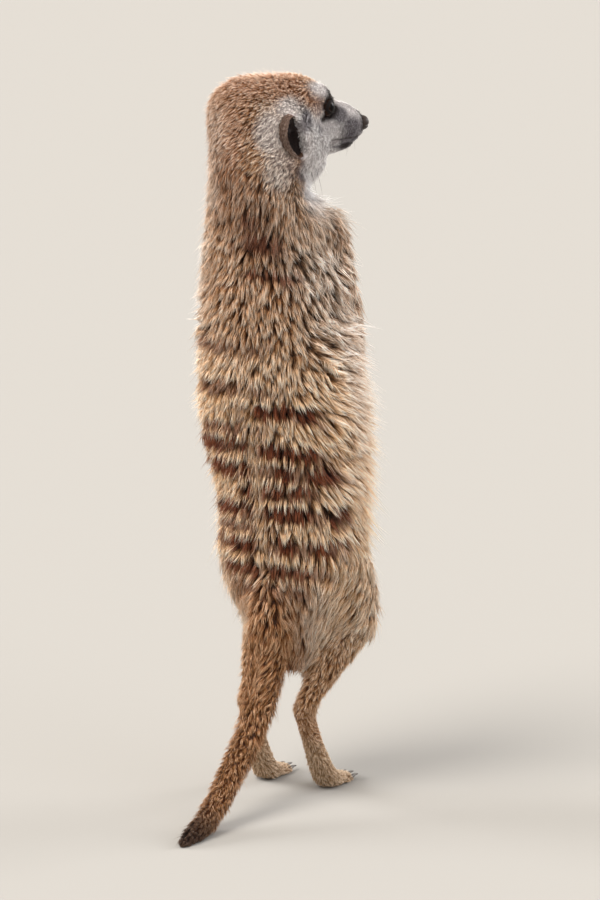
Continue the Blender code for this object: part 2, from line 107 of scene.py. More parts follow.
def kind(node):
    """The kind of flesh a node is: its name without the side."""
    return node.removesuffix("_left").removesuffix("_right")


def middle(node):
    low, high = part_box(node)
    return np.array((low + high) / 2) / MM


# ---------------------------------------------------------------- places on the body, in mm


# How far the eyes lie ahead of the middle of the cranium and above it, in mm.
EYES_AHEAD, EYES_ABOVE = 25.4, 6.8


class HeadAxes:
    """Axes fixed to the turned head: forwards to the nose, left, and up, from the middle of the cranium."""

    def __init__(self):
        left_eye, right_eye = middle("eye_left"), middle("eye_right")
        between = (left_eye + right_eye) / 2
        self.left = (left_eye - right_eye) / np.linalg.norm(left_eye - right_eye)
        self.up = np.array((0.0, 0.0, 1.0))
        self.forwards = np.cross(self.left, self.up)
        self.origin = between - EYES_AHEAD * self.forwards - EYES_ABOVE * self.up

    def inward(self, points):
        """Points in mm as (forwards, left, up) of the head."""
        off = np.asarray(points, float) - self.origin
        return np.stack([off @ self.forwards, off @ self.left, off @ self.up], axis=-1)

    def outward(self, places):
        places = np.asarray(places, float)
        return self.origin + places @ np.stack([self.forwards, self.left, self.up])

    def turned(self, direction):
        """A direction given in the head's axes, in the world's."""
        return np.asarray(direction, float) @ np.stack([self.forwards, self.left, self.up])


HEAD = HeadAxes()
TAIL_X = middle("tail_base")[0]
# The trunk's axis: (height, axis x, axis y), in mm.
TRUNK_AXIS = np.array([
    (60.0, TAIL_X, -34.0),
    (110.0, TAIL_X + 1.2, -35.4),
    (150.0, TAIL_X + 2.2, -34.8),
    (198.0, TAIL_X + 5.2, -27.8),
    (243.0, TAIL_X + 7.2, -23.6),
    (268.0, TAIL_X + 9.2, -18.6),
    (300.0, TAIL_X + 12.0, -18.0),
])


# An ear in the head's axes, in mm: its middle, which way its hollow faces, and its reach to the rim.
EAR_MIDDLE, EAR_FACING, EAR_LEAN = (5.9, 21.9, -1.5), math.radians(62), math.radians(27)
EAR_REAR, EAR_FRONT, EAR_TALL = 6.9, 5.6, 10.8


def ear_axes(side):
    """An ear's own axes: its middle, and the directions forwards, out of its hollow and up."""
    sign = 1 if side == "left" else -1
    out = HEAD.turned((math.cos(EAR_FACING), sign * math.sin(EAR_FACING), 0))
    up = HEAD.turned((-math.sin(EAR_LEAN), 0, math.cos(EAR_LEAN)))
    up = unit(up - out * (up @ out))
    ahead, aside, above = EAR_MIDDLE
    return HEAD.outward((ahead, sign * aside, above)), sign * np.cross(out, up), out, up


def ear_share(points, side):
    """How far points lie from an ear's middle, as a share of the way to its rim, and how far out in mm."""
    centre, forwards, out, up = ear_axes(side)
    off = points - centre
    across, tall = off @ forwards, off @ up
    taper = 1 + 0.2 * np.clip(tall / EAR_TALL, -1, 1)
    across = across / np.where(across > 0, EAR_FRONT, EAR_REAR) / taper
    return np.hypot(across, tall / EAR_TALL), off @ out


# The line of the mouth in the head's axes, in mm: places forwards, and its height at each.
MOUTH = (22, 34, 41, 46), (-8.9, -9.5, -9.9, -9.6)


def mouth_height(forwards):
    return np.interp(forwards, *MOUTH)


def trunk_middle(height):
    """The trunk's axis at a height, as (x, y), in mm."""
    return np.stack([np.interp(height, TRUNK_AXIS[:, 0], TRUNK_AXIS[:, k]) for k in (1, 2)], axis=-1)


def off_spine(points):
    """How far round the trunk a point is from the spine, in degrees: left of it above 0, right below."""
    axis = trunk_middle(points[:, 2])
    return np.degrees(np.arctan2(points[:, 0] - axis[:, 0], points[:, 1] - axis[:, 1]))


# ---------------------------------------------------------------- numbers


def ramp(values, start, end):
    """0 before start, 1 after end, and smooth between; start may be above end."""
    t = np.clip((values - start) / (end - start), 0, 1)
    return t * t * (3 - 2 * t)


def lattice(cells, seed):
    """A steady value from 0 to 1 for each whole-number cell."""
    a = cells.astype(np.int64)
    h = a[..., 0] * 73856093 ^ a[..., 1] * 19349663 ^ a[..., 2] * 83492791 ^ (seed * 2654435761)
    h = (h ^ (h >> 13)) * 1274126177 & 0x7FFFFFFF
    h = (h ^ (h >> 16)) * 668265263 & 0x7FFFFFFF
    return ((h ^ (h >> 15)) & 0xFFFF) / 65535.0


def cloud(points, size, seed):
    """Smooth noise from 0 to 1 whose blotches are about size mm across."""
    scaled = points / size
    base = np.floor(scaled)
    t = scaled - base
    t = t * t * (3 - 2 * t)
    total = np.zeros(len(points))
    for corner in range(8):
        step = np.array([corner & 1, corner >> 1 & 1, corner >> 2 & 1])
        weight = np.prod(np.where(step, t, 1 - t), axis=1)
        total += weight * lattice(base + step, seed)
    return total


def unit(vectors):
    return vectors / np.maximum(np.linalg.norm(vectors, axis=-1, keepdims=True), 1e-9)


def relaxed(values, edges, rounds, share=0.5):
    """Values at a mesh's vertices, each drawn towards the mean of its neighbours."""
    values = np.array(values, float)
    flat = values.reshape(len(values), -1)
    count = np.bincount(edges.ravel(), minlength=len(flat)).clip(1)
    for _ in range(rounds):
        for k in range(flat.shape[1]):
            column = flat[:, k]
            total = np.bincount(edges[:, 0], column[edges[:, 1]], len(flat))
            total += np.bincount(edges[:, 1], column[edges[:, 0]], len(flat))
            flat[:, k] = column + share * (total / count - column)
    return flat.reshape(values.shape)


def gathered(items, name, width, form=np.float32):
    """One property of all of a mesh's items as an array, a row to an item."""
    flat = np.empty(len(items) * width, form)
    items.foreach_get(name, flat)
    return flat.reshape(-1, width)


def vertex_places(mesh):
    return gathered(mesh.vertices, "co", 3).astype(float) / MM


def place_vertices(mesh, points):
    mesh.vertices.foreach_set("co", (points * MM).astype(np.float32).ravel())
    mesh.update()


def vertex_normals(mesh):
    return gathered(mesh.vertex_normals, "vector", 3).astype(float)


def edges_of(mesh):
    return gathered(mesh.edges, "vertices", 2, np.int32)


def store(mesh, name, values):
    """Writes values at a mesh's vertices as an attribute that materials and later steps read."""
    made = mesh.attributes.new(name, "FLOAT", "POINT")
    made.data.foreach_set("value", np.asarray(values, np.float32).ravel())


def stored(mesh, name):
    return gathered(mesh.attributes[name].data, "value", 1)[:, 0].astype(float)


# ---------------------------------------------------------------- markings, the same on skin and coat

ZONES = ("crown", "flank", "belly", "cheek", "grey", "dark", "tail", "bar", "paw", "buff", "ear")

# Dark bars over the back: (height at the spine in mm, half thickness in mm, reach to the left and
# to the right of the spine in degrees, rise towards the right in mm, how dark from 0 to 1).
BARS = (
    (267.5, 2.2, 0, 30, -1.0, 0.8), (256.5, 3.4, 4, 40, 0.0, 0.95), (243.0, 1.7, 0, 50, -1.0, 0.9),
    (207.5, 2.2, 58, 16, 0.0, 0.65), (188.5, 2.4, 58, 20, 0.0, 0.75), (178.5, 3.0, 8, 56, 0.0, 1),
    (170.0, 2.0, 60, 10, 0.0, 0.85), (161.5, 2.9, 62, 56, -2.0, 1), (150.6, 2.8, 60, 70, 0.0, 1),
    (140.5, 2.3, 20, 50, 2.0, 1), (132.0, 2.5, 62, 80, 0.0, 1), (124.0, 1.6, 58, 8, 0.0, 0.8),
    (116.3, 2.6, 60, 66, 1.0, 1), (105.5, 2.1, 50, 50, 0.0, 0.95), (97.0, 1.7, 30, 40, 0.0, 0.65),
)


# Spots on the head, alike on both sides, in its axes in mm: (middle, radii, how strong, how soft-edged).
GREY_SPOTS_AND_PAINTED_SHADE = (
    ((11, 18, 3.5), (4.2, 5, 5), 0.75, 0.35),
    ((19.5, 15.5, -1.5), (2.4, 3.5, 2.6), 0.5, 0.35),
    # Painted shade: the shadow in the crease behind the cheek, below the ear.
    ((7, 17.5, -20), (3.6, 5, 8), 0.75, 0.35),
)
EYE_PATCH = (
    ((28.0, 9.6, 6.8), (7.4, 8.0, 5.7), 1, 0.2),
    ((29.6, 7.6, 11.4), (3.4, 5.2, 4.6), 1, 0.3),
    ((25.6, 12.0, 3.9), (4.2, 5.0, 3.4), 1, 0.3),
)
WARM_BROW = (
    ((18.5, 14.6, 9.4), (5.4, 5.4, 5.4), 0.68, 0.35),
    ((12.5, 12.6, 13.8), (6.5, 6, 4.6), 0.68, 0.35),
)
ABOVE_EAR = (((5, 17, 10), (9.5, 8, 5.5), 0.8, 0.35),)
BEHIND_EAR = (
    ((-6, 21, 1), (8, 7, 10), 0.62, 0.35),
    ((-3, 21, -15), (8, 9, 11), 0.4, 0.35),
)
BROW = (((23.5, 9, 14), (7.5, 8.5, 5.2), 1, 0.35),)
BESIDE_NOSE = (((34.5, 7.5, 2.2), (4.6, 4.5, 4.2), 0.8, 0.35),)


def spots(places, which):
    """How strongly the strongest of these spots shows at each place."""
    shown = []
    for middle_place, radii, strong, soft in which:
        reach = np.linalg.norm((places - np.array(middle_place, float)) / np.array(radii, float), axis=1)
        shown.append(ramp(reach, 1 + soft, 1 - soft) * strong)
    return np.maximum.reduce(shown)


def is_on(labels, *kinds):
    """Whether each label is of a node of one of these kinds."""
    return np.isin(labels, [index for index, node in enumerate(FLESH) if kind(node) in kinds])


def markings(points, labels):
    """How strongly each zone's colours show at these points, in mm, on these nodes: {zone: 0 to 1}."""
    on = {part: is_on(labels, *kinds) for part, kinds in {
        "skull": ("head", "lower_jaw"), "ear": ("ear",), "neck": ("neck",), "jaw": ("lower_jaw",),
        "trunk": ("neck", "chest", "belly"), "arm": ("upper_arm", "forearm", "hand"),
        "leg": ("thigh", "shank", "foot"), "paw": ("hand", "foot"),
        "tail": ("tail_base", "tail_middle", "tail_tip"),
    }.items()}
    rough = cloud(points, 5.0, 11) - 0.5
    fine = cloud(points, 2.2, 12) - 0.5
    broad = cloud(points, 16.0, 13) - 0.5
    height = points[:, 2]
    round_trunk = off_spine(points)
    aside = np.abs(round_trunk)
    trunk, arm, leg, tail = (on[part].astype(float) for part in ("trunk", "arm", "leg", "tail"))
    mark = {zone: np.zeros(len(points)) for zone in ZONES}

    def show(zone, strength):
        """Shows a zone at least this strongly."""
        mark[zone] = np.maximum(mark[zone], strength)

    # The trunk: tan over the back, paler down the flanks, palest in front.
    show("flank", trunk * ramp(aside + 22 * broad + 14 * rough, 24, 76) * (1 - 0.45 * on["neck"]))
    banded = trunk * ramp(height + 14 * broad, 226, 180) * ramp(height, 88, 108) * ramp(aside, 96, 74)
    show("flank", 0.4 * banded)
    front = ramp(height, 245, 270)
    show("belly", trunk * ramp(aside + 20 * broad + 12 * rough + 24 * front, 110, 150))
    inner = points[:, 0] - trunk_middle(height)[:, 0]
    show("flank", arm * (0.62 + 0.5 * broad))
    show("flank", leg * ramp(points[:, 1] + 10 * broad, -22, -52) * 0.9)
    show("belly", leg * ramp(np.abs(inner), 13, 4) * ramp(points[:, 1], -30, -50))
    show("buff", trunk * ramp(height + 18 * broad, 205, 120) * ramp(aside, 20, 90) * 0.8 + leg * 0.55)
    show("buff", 0.8 * banded)
    show("paw", on["paw"] * (1 - leg * ramp(height + 8 * broad, 12, 36)))

    # The bars, in planes that fall towards the belly, broken into spots and frayed at their edges.
    back = points[:, 1] - (trunk_middle(height)[:, 1] + 36)
    level = height - 0.24 * back + 3.4 * rough + 1.6 * fine
    for at, half, to_left, to_right, rise, dark in BARS:
        reach = np.where(round_trunk > 0, to_left, to_right)
        across = ramp(aside + 24 * rough, reach + 12, reach - 10)
        wander = rise * np.clip(-round_trunk / 45, 0, 1.4)
        near = ramp(np.abs(level - at - wander), half + 1.4, half)
        broken = 0.72 + 0.6 * ramp(cloud(points * (1, 1, 0.6), 7.0, int(at)), 0.22, 0.5)
        show("bar", dark * near * across * np.clip(broken, 0, 1))
    gap = 1 - 0.55 * ramp(aside, 7, 2)
    mark["bar"] *= gap * (trunk + leg > 0) * ramp(aside, 95, 74)
    # Between the shoulders the coat is darker, more so on the right.
    withers = trunk * ramp(height, 240, 252) * ramp(height, 284, 270)
    withers *= ramp(np.abs(round_trunk + 22) + 16 * rough, 34, 8)
    show("bar", 0.32 * withers)
    show("dark", 0.22 * withers)
    # Down the nape the tips are browner.
    show("bar", 0.34 * on["neck"] * ramp(aside + 20 * rough, 46, 20) * ramp(height, 252, 264))

    # The tail: reddish brown, darkening over its last quarter; the backs of the shanks are as red.
    show("tail", tail)
    show("tail", trunk * ramp(height + 8 * broad, 112, 78) * ramp(aside + 12 * rough, 48, 14))
    behind = ramp(points[:, 1] - middle("shank_left")[1], -6, 6) * ramp(height, 84, 56) * ramp(height, 6, 26)
    show("tail", leg * behind * 0.6)
    show("dark", tail * ramp(points[:, 1] + 6 * rough, 44, 72) * 0.85)

    # The head, and the top of the neck, where its colours fade out.
    at = HEAD.inward(points)
    paired = np.stack([at[:, 0], np.abs(at[:, 1]), at[:, 2]], axis=1)
    f, _, u = paired.T
    loose = paired + 2.2 * np.stack([rough, fine, rough], axis=1)
    lf, ll, lu = loose.T
    skull = (on["skull"] | on["ear"]).astype(float)
    head = np.maximum(skull, on["neck"] * ramp(lu + 6 * broad, -46, -26))
    cap = ramp(lu + 0.25 * lf, 9, 15) * ramp(lf, 24, 12)
    nape = 0.6 * ramp(lf, -5, -12) * ramp(ll, 19, 13) * ramp(lu, -38, -10)
    temple = 0.85 * skull * ramp(ll, 11, 17) * ramp(lf, 3, -5) * ramp(lf, -15, -9)
    poll = 0.75 * head * ramp(ll, 11, 5) * ramp(lf, -11, -15) * ramp(lu, 15, 5)
    crown = head * np.maximum(cap, nape) * (1 - 0.75 * np.maximum(temple, poll))
    show("flank", np.maximum(0.85 * temple, poll))
    # A darker band down each side behind the head: partly darker ticking, partly painted shade in the hollow
    # behind the ear.
    show("bar", 0.3 * skull * np.exp(-((ll - 14) / 4.5) ** 2) * ramp(lf, -9, -14) * ramp(lu, 14, 4))
    show("bar", 0.3 * head * nape)
    edge = 5 - 0.2 * lu
    face = ramp(lf - edge, -3, 3) * ramp(lu, 13, 6)
    throat = ramp(lu, -4, -12) * ramp(lf, 7, 13)
    brow = spots(loose, BROW) * ramp(f, 11, 17)
    above_ear = spots(loose, ABOVE_EAR)
    pale = np.maximum.reduce([face, throat, brow, above_ear, spots(loose, BEHIND_EAR)])
    warm = spots(loose, WARM_BROW)
    show("crown", crown * (1 - 0.9 * np.maximum(brow, above_ear)))
    show("crown", skull * warm)
    show("cheek", head * np.clip(pale, 0, 1) * (1 - 0.85 * warm))
    snout = ramp(lf, 33, 39) * ramp(lu + 0.35 * (f - 36), 3.4, -1.4) * (0.86 + 0.5 * fine)
    lip = on["jaw"] * ramp(f, 29, 33) * ramp(u, -14.5, -12.4)
    # The grey zone also takes the painted shadow in the crease below each ear.
    grey = np.maximum.reduce([snout, spots(paired, BESIDE_NOSE), spots(loose, GREY_SPOTS_AND_PAINTED_SHADE), lip * 0.8])
    show("grey", head * np.clip(grey, 0, 1))
    tip = ramp(f, 45.2, 47.4)
    chin = on["jaw"] * ramp(f, 33, 36.5) * ramp(u, -15.5, -13.4)
    lips = np.exp(-((u - mouth_height(f)) / 0.7) ** 2) * ramp(f, 22, 28) * 0.8
    eye_patch = spots(loose, EYE_PATCH)
    show("dark", np.maximum.reduce([skull * eye_patch, skull * tip, chin * 0.85, on["skull"] * lips]))
    hollow, front_rim = np.zeros((2, len(points)))
    for side in SIDES:
        share, _ = ear_share(points, side)
        centre, forwards, _, _ = ear_axes(side)
        before = on["ear"] * ramp((points - centre) @ forwards, 0.6, 2.2) * ramp(share, 0.9, 0.97)
        before *= np.linalg.norm(points - centre, axis=1) < 20
        front_rim = np.maximum(front_rim, before)
        hollow = np.maximum(hollow, on["ear"] * ramp(share, 0.97, 0.87))
    show("dark", hollow * (1 - front_rim))
    mark["ear"] = on["ear"] * (1 - mark["dark"]) * (1 - front_rim)
    for zone in ("crown", "grey"):
        mark[zone] = mark[zone] * ~on["ear"]
    mark["cheek"] = np.where(on["ear"], 0.8 * front_rim, mark["cheek"])
    return mark


# ---------------------------------------------------------------- materials


def linear(colour):
    """A colour written as sRGB hex, as linear light."""
    parts = [int(colour[i:i + 2], 16) / 255 for i in (1, 3, 5)]
    return [c / 12.92 if c <= 0.04045 else ((c + 0.055) / 1.055) ** 2.4 for c in parts] + [1.0]


def add(tree, form, links=None, stops=(), **settings):
    """Adds a node. links are {input: value or socket of another node}, stops are a colour ramp's
    (place, sRGB hex), and settings are the node's own properties."""
    node = tree.nodes.new(form)
    for name, value in settings.items():
        setattr(node, name, value)
    for name, value in (links or {}).items():
        socket = node.inputs[name]
        if isinstance(value, bpy.types.NodeSocket):
            tree.links.new(value, socket)
        else:
            socket.default_value = value
    for index, (at, colour) in enumerate(stops):
        elements = node.color_ramp.elements
        if index == len(elements):
            elements.new(1.0)
        elements[index].position = at
        elements[index].color = linear(colour)
    return node


# The sockets of a Mix node that mixes colours: how much of the second, the first, the second, the result.
SHARE, UNDER, OVER, MIXED = 0, 6, 7, 2


def new_material(name):
    """A material with no nodes yet, and its tree."""
    material = bpy.data.materials.new(name)
    material.use_nodes = True
    material.node_tree.nodes.clear()
    return material, material.node_tree


# The coat's colours along a hair: its root, its lower and upper bands, and its tip. The dark roots are
# partly the hair's own banding and partly painted shade deep in the coat. Each zone's are laid
# over those before it, as strongly as the zone shows.
BANDS = (0.0, 0.36, 0.66, 0.95)
COAT_COLOURS = {
    "back": ("#28160c", "#7d5134", "#c49a76", "#f9e6d2"),
    "flank": ("#37261c", "#997c66", "#d9c1ac", "#fdf4eb"),
    "buff": ("#452c1b", "#b98a63", "#f3cfa6", "#fff6e4"),
    "belly": ("#76624f", "#bca68e", "#dccbb6", "#f8f1e7"),
    "crown": ("#381f12", "#8f5e3f", "#c69a7c", "#f2dbc7"),
    "cheek": ("#958c8c", "#ddd6d6", "#f3efee", "#ffffff"),
    "tail": ("#34190c", "#7c4e31", "#ab7d58", "#d8b18c"),
    "bar": ("#150602", "#3b1607", "#693013", "#8f5029"),
    "paw": ("#5a4334", "#a88767", "#cbae90", "#e8d4bc"),
    "grey": ("#2b2629", "#59535a", "#7f7980", "#a8a2a9"),
    "ear": ("#2a1d19", "#6b564c", "#8f786c", "#bdaa9d"),
    "dark": ("#0f0a09", "#201614", "#332724", "#4a3b35"),
}


def coat_colour(tree, along):
    """The coat's colour from the markings at a point and the place along the hair."""
    shades = {zone: add(tree, "ShaderNodeValToRGB", {"Fac": along}, zip(BANDS, colours)).outputs["Color"]
              for zone, colours in COAT_COLOURS.items()}
    colour = shades.pop("back")
    for zone, shade in shades.items():
        shows = add(tree, "ShaderNodeAttribute", attribute_name=zone).outputs["Fac"]
        laid = {SHARE: shows, UNDER: colour, OVER: shade}
        colour = add(tree, "ShaderNodeMix", laid, data_type="RGBA").outputs[MIXED]
    return colour


def fur_material():
    """Guard hair: keratin, matt to satin, banded from a dark root to a pale tip, no two hairs quite alike,
    with painted light on the locks' crests and painted shade in the gaps between them.
    """
    material, tree = new_material("ticked guard hair")
    tone_and_painted_lock_shade = add(tree, "ShaderNodeAttribute", attribute_name="tone_and_painted_lock_shade").outputs["Fac"]
    along = add(tree, "ShaderNodeAttribute", attribute_name="along").outputs["Fac"]
    # On a lock's crest more of each hair is its pale outer part; down its sides, more is the dark root.
    # So each tuft's tone, from 0 to 1 and a little past either, moves the bands along, and turns value and
    # saturation: painted light on the crests, painted shade down the sides and in the gaps, and random tone.
    shift, value, saturation = (
        add(tree, "ShaderNodeMapRange", {"Value": tone_and_painted_lock_shade, "To Min": low, "To Max": high}, clamp=False)
        for low, high in ((-0.2, 0.2), (0.68, 1.3), (1.22, 0.95)))
    shown = add(tree, "ShaderNodeMath", {0: along, 1: shift.outputs["Result"]}, operation="ADD")
    toned = add(tree, "ShaderNodeHueSaturation", {
        "Color": coat_colour(tree, shown.outputs["Value"]), "Value": value.outputs["Result"],
        "Saturation": saturation.outputs["Result"]}).outputs["Color"]
    shader = add(tree, "ShaderNodeBsdfPrincipled", {
        "Base Color": toned, "Roughness": 0.58, "Specular IOR Level": 0.2, "Sheen Weight": 0.08,
        "Sheen Roughness": 0.5})
    add(tree, "ShaderNodeOutputMaterial", {"Surface": shader.outputs["BSDF"]})
    return material


def skin_material():
    """Skin under the coat: it shows between tufts as shaded underfur, with the coat's own markings."""
    material, tree = new_material("underfur on skin")
    place = add(tree, "ShaderNodeTexCoord").outputs["Object"]
    # Underfur about 0.4 mm thick to a strand, drawn at 0.9 mm so that it shows.
    strands = add(tree, "ShaderNodeTexNoise", {
        "Vector": place, "Scale": 1 / (0.9 * MM), "Detail": 3.0}).outputs["Fac"]
    along = add(tree, "ShaderNodeMapRange", {
        "Value": strands, "From Min": 0.3, "From Max": 0.7, "To Min": 0.12, "To Max": 0.45}).outputs["Result"]
    bump = add(tree, "ShaderNodeBump", {"Height": strands, "Strength": 0.6, "Distance": 0.3 * MM})
    shader = add(tree, "ShaderNodeBsdfPrincipled", {
        "Base Color": coat_colour(tree, along), "Roughness": 0.85, "Specular IOR Level": 0.2,
        "Normal": bump.outputs["Normal"]})
    add(tree, "ShaderNodeOutputMaterial", {"Surface": shader.outputs["BSDF"]})
    return material


# ---------------------------------------------------------------- skin


def mesh_object(name, mesh, *materials):
    made = bpy.data.objects.new(name, mesh)
    bpy.context.scene.collection.objects.link(made)
    for material in materials:
        mesh.materials.append(material)
    return made


def as_mesh(name, made):
    """A bmesh as a smooth mesh; the bmesh is freed."""
    mesh = bpy.data.meshes.new(name)
    made.to_mesh(mesh)
    made.free()
    mesh.shade_smooth()
    return mesh


def joined(parts, start=None):
    """One bmesh of all these, after what the starting mesh holds; each of them is freed."""
    whole = bmesh.new()
    if start:
        whole.from_mesh(start)
    for part in parts:
        held = as_mesh("part", part)
        whole.from_mesh(held)
        bpy.data.meshes.remove(held)
    return whole


def evaluated_mesh(source):
    """The object's mesh with its modifiers applied; the object itself is removed."""
    graph = bpy.context.evaluated_depsgraph_get()
    mesh = bpy.data.meshes.new_from_object(source.evaluated_get(graph))
    old = source.data
    bpy.data.objects.remove(source)
    bpy.data.meshes.remove(old)
    return mesh


# Corners of a solid's faces that lie nearer than this are one corner.
SAME_CORNER = 0.002 * MM


def merged_copy(node):
    """A node's solid as a bmesh whose faces share their corners."""
    copy = bmesh.new()
    copy.from_mesh(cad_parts[node].data)
    bmesh.ops.remove_doubles(copy, verts=copy.verts, dist=SAME_CORNER)
    copy.normal_update()
    return copy


# The stopper's half width, half height and depth, and how far out its flat top lies, in mm.
PLUG_WIDE, PLUG_TALL, PLUG_DEEP, PLUG_TOP = 7.4, 11.6, 5.6, -2.4


def ear_plug(side):
    """A flat-topped stopper for the room that an ear takes in the head, up to the bottom of its hollow."""
    centre, forwards, out, up = ear_axes(side)
    plug = bmesh.new()
    bmesh.ops.create_icosphere(plug, subdivisions=4, radius=1.0)
    for vert in plug.verts:
        f, u, o = vert.co
        place = centre + forwards * f * PLUG_WIDE + up * u * PLUG_TALL + out * min(o * PLUG_DEEP, PLUG_TOP)
        vert.co = Vector(place * MM)
    return plug


def swollen_flesh(swell):
    """Copies of all the flesh but the ears in one mesh, each swollen so that neighbours meet."""
    solids = [merged_copy(node) for node in FLESH if kind(node) != "ear"]
    for copy in solids:
        for vert in copy.verts:
            vert.co += vert.normal * swell
    return as_mesh("flesh", joined(solids + [ear_plug(side) for side in SIDES]))


def nearest_nodes(points):
    """For each point, the index in FLESH of the node whose surface is nearest, with no node for the ears."""
    verts, faces, owner = [], [], []
    for index, node in enumerate(FLESH):
        if kind(node) == "ear":
            continue
        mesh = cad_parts[node].data
        start = len(verts)
        verts += [v.co / MM for v in mesh.vertices]
        faces += [[start + v for v in p.vertices] for p in mesh.polygons]
        owner += [index] * len(mesh.polygons)
    tree = BVHTree.FromPolygons(verts, faces)
    return np.array([owner[tree.find_nearest(Vector(p))[2]] for p in points])


def coat_field(labels, edges, column, rounds=24):
    """One of the coat's sizes at every vertex of the skin, eased from each kind of flesh into the next."""
    values = np.array([COAT_OF[kind(name)][column] for name in FLESH])[labels]
    return relaxed(values, edges, rounds)


def face_share(points):
    """0 at the back of the head, 1 on the face and muzzle, where the coat is shortest."""
    f, _, u = HEAD.inward(points).T
    return ramp(f - 0.25 * u, 6, 24)


def eased_to_face(values, on_face, points, labels, edges, rounds):
    """Values over the coat that turn into those of the face on the head's front."""
    face = face_share(points) * is_on(labels, "head", "lower_jaw")
    return relaxed(values * (1 - face) + on_face * face, edges, rounds)


# The coat's depth over the face: places forwards in the head's axes, and the depth at each, in mm.
FACE_DEPTH = (8, 20, 32, 42), (1.9, 1.2, 0.7, 0.4)


def coat_depth(points, labels, edges):
    short = np.interp(HEAD.inward(points)[:, 0], *FACE_DEPTH)
    depth = eased_to_face(coat_field(labels, edges, DEPTH), short, points, labels, edges, 6)
    return depth * (1 - 0.78 * by_ears(points, 1.25, 2.1))


def by_ears(points, near, far):
    """1 close round either ear's rim, 0 further than the far share of the way out from its middle."""
    closest = 0
    for side in SIDES:
        share, rise = ear_share(points, side)
        closest = np.maximum(closest, ramp(share, far, near) * (np.abs(rise) < 11))
    return closest


def cut_finer(mesh, chosen):
    """Cuts each chosen face in four."""
    cut = bmesh.new()
    cut.from_mesh(mesh)
    cut.faces.ensure_lookup_table()
    edges = {edge for index in np.flatnonzero(chosen) for edge in cut.faces[int(index)].edges}
    bmesh.ops.subdivide_edges(cut, edges=list(edges), cuts=1, use_grid_fill=True)
    cut.to_mesh(mesh)
    cut.free()


def face_middles(mesh):
    return gathered(mesh.polygons, "center", 3).astype(float) / MM


def to_eyes(points):
    """How far each point is from the nearer eye's middle, in mm."""
    return np.minimum(*[np.linalg.norm(points - middle(f"eye_{side}"), axis=1) for side in SIDES])


def smoothed(points, edges, rounds):
    """Evens a surface without shrinking it."""
    for _ in range(rounds):
        points = relaxed(relaxed(points, edges, 1, 0.5), edges, 1, -0.52)
    return points


def eye_facing(side):
    return unit(HEAD.turned((0.62, 0.77 if side == "left" else -0.77, 0.12)))


# How far the skin lies from an eye's middle: degrees off the way the eye looks, and mm at each.
SKIN_ON_EYE = (0, 34, 46, 62, 95), (4.0, 4.1, 5.0, 5.5, 6.4)


def drawn_to_eyes(points):
    """The skin round each eye laid close on the eyeball, and tucked inside it under the lids' opening."""
    for side in SIDES:
        off = points - middle(f"eye_{side}")
        reach = np.linalg.norm(off, axis=1).clip(1e-6)
        angle = np.degrees(np.arccos((off @ eye_facing(side) / reach).clip(-1, 1)))
        hold = ramp(reach, 10.0, 7.2) * ramp(angle, 108, 68)
        wanted = np.interp(angle, *SKIN_ON_EYE)
        points = points + off / reach[:, None] * ((wanted - reach) * hold)[:, None]
    return points


def mouth_line(points):
    """1 on the line of the mouth, 0 away from it."""
    f, _, u = HEAD.inward(points).T
    return np.exp(-((u - mouth_height(f)) / MOUTH_HALF) ** 2) * ramp(f, 21, 27)


# The mouth's groove: half its breadth and its depth in mm.
MOUTH_HALF, MOUTH_DEEP = 0.55, 0.9

# An ear from the bottom of its hollow over its rim and down its back: (share of the way to the rim,
# how far out in mm, the reach of its front half in mm).
EAR_RINGS = (
    (0.06, -5.0, 5.0), (0.20, -4.9, 5.0), (0.34, -4.5, 5.0), (0.46, -3.6, 5.1), (0.56, -2.6, 5.1),
    (0.66, -2.0, 5.2), (0.77, -1.8, 5.3), (0.87, -0.9, 5.4), (0.94, 0.1, 5.5), (0.985, 0.5, 5.6),
    (1.01, 0.2, 5.9), (1.02, -0.8, 6.2), (1.00, -2.2, 6.6), (0.96, -3.8, 6.8), (0.86, -5.8, 6.9),
)
EAR_AROUND = 60


def ear_skin(side):
    """One ear's skin as a bmesh: a cupped shell with a thick rear rim and a ridge across its hollow."""
    centre, forwards, out, up = ear_axes(side)
    ear = bmesh.new()
    rings = []
    for share, rise, front in EAR_RINGS:
        ring = []
        for step in range(EAR_AROUND):
            angle = 2 * math.pi * step / EAR_AROUND
            ahead, tall = math.cos(angle), math.sin(angle)
            f = share * ahead * (front if ahead > 0 else EAR_REAR) * (1 + 0.2 * tall)
            u = share * tall * EAR_TALL
            o = rise
            f += 1.3 * (1 - min(share, 1))
            if share < 0.7:
                ridge = math.exp(-((u - 2.8 + 0.4 * f) / 1.3) ** 2)
                o += 2.6 * ridge * min(1.0, (0.7 - share) / 0.25)
            if share > 0.5:
                o -= 3.0 * max(0.0, ahead) ** 1.5 * math.exp(-((share - 1) / 0.3) ** 2)
                o += 0.35 * max(0.0, -ahead) * math.exp(-((share - 0.97) / 0.1) ** 2)
                o += 0.8 * max(0.0, ahead) * math.exp(-((u + 2.2) / 2.2) ** 2 - ((share - 0.86) / 0.16) ** 2)
            ring.append(ear.verts.new(Vector((centre + forwards * f + up * u + out * o) * MM)))
        rings.append(ring)
    for inner, outer in zip(rings, rings[1:]):
        for step in range(EAR_AROUND):
            after = (step + 1) % EAR_AROUND
            ear.faces.new((inner[step], inner[after], outer[after], outer[step]))
    ear.faces.new(rings[0])
    bmesh.ops.recalc_face_normals(ear, faces=ear.faces)
    ear.faces.ensure_lookup_table()
    if ear.faces[-1].normal.dot(Vector(out)) < 0:
        bmesh.ops.reverse_faces(ear, faces=ear.faces)
    return ear


# Fewer vertices than this mean that the solids didn't fuse.
FEWEST_VERTICES = 10_000
# How many steps the skin is drawn in by, so that it doesn't fold.
STEPS_IN = 4


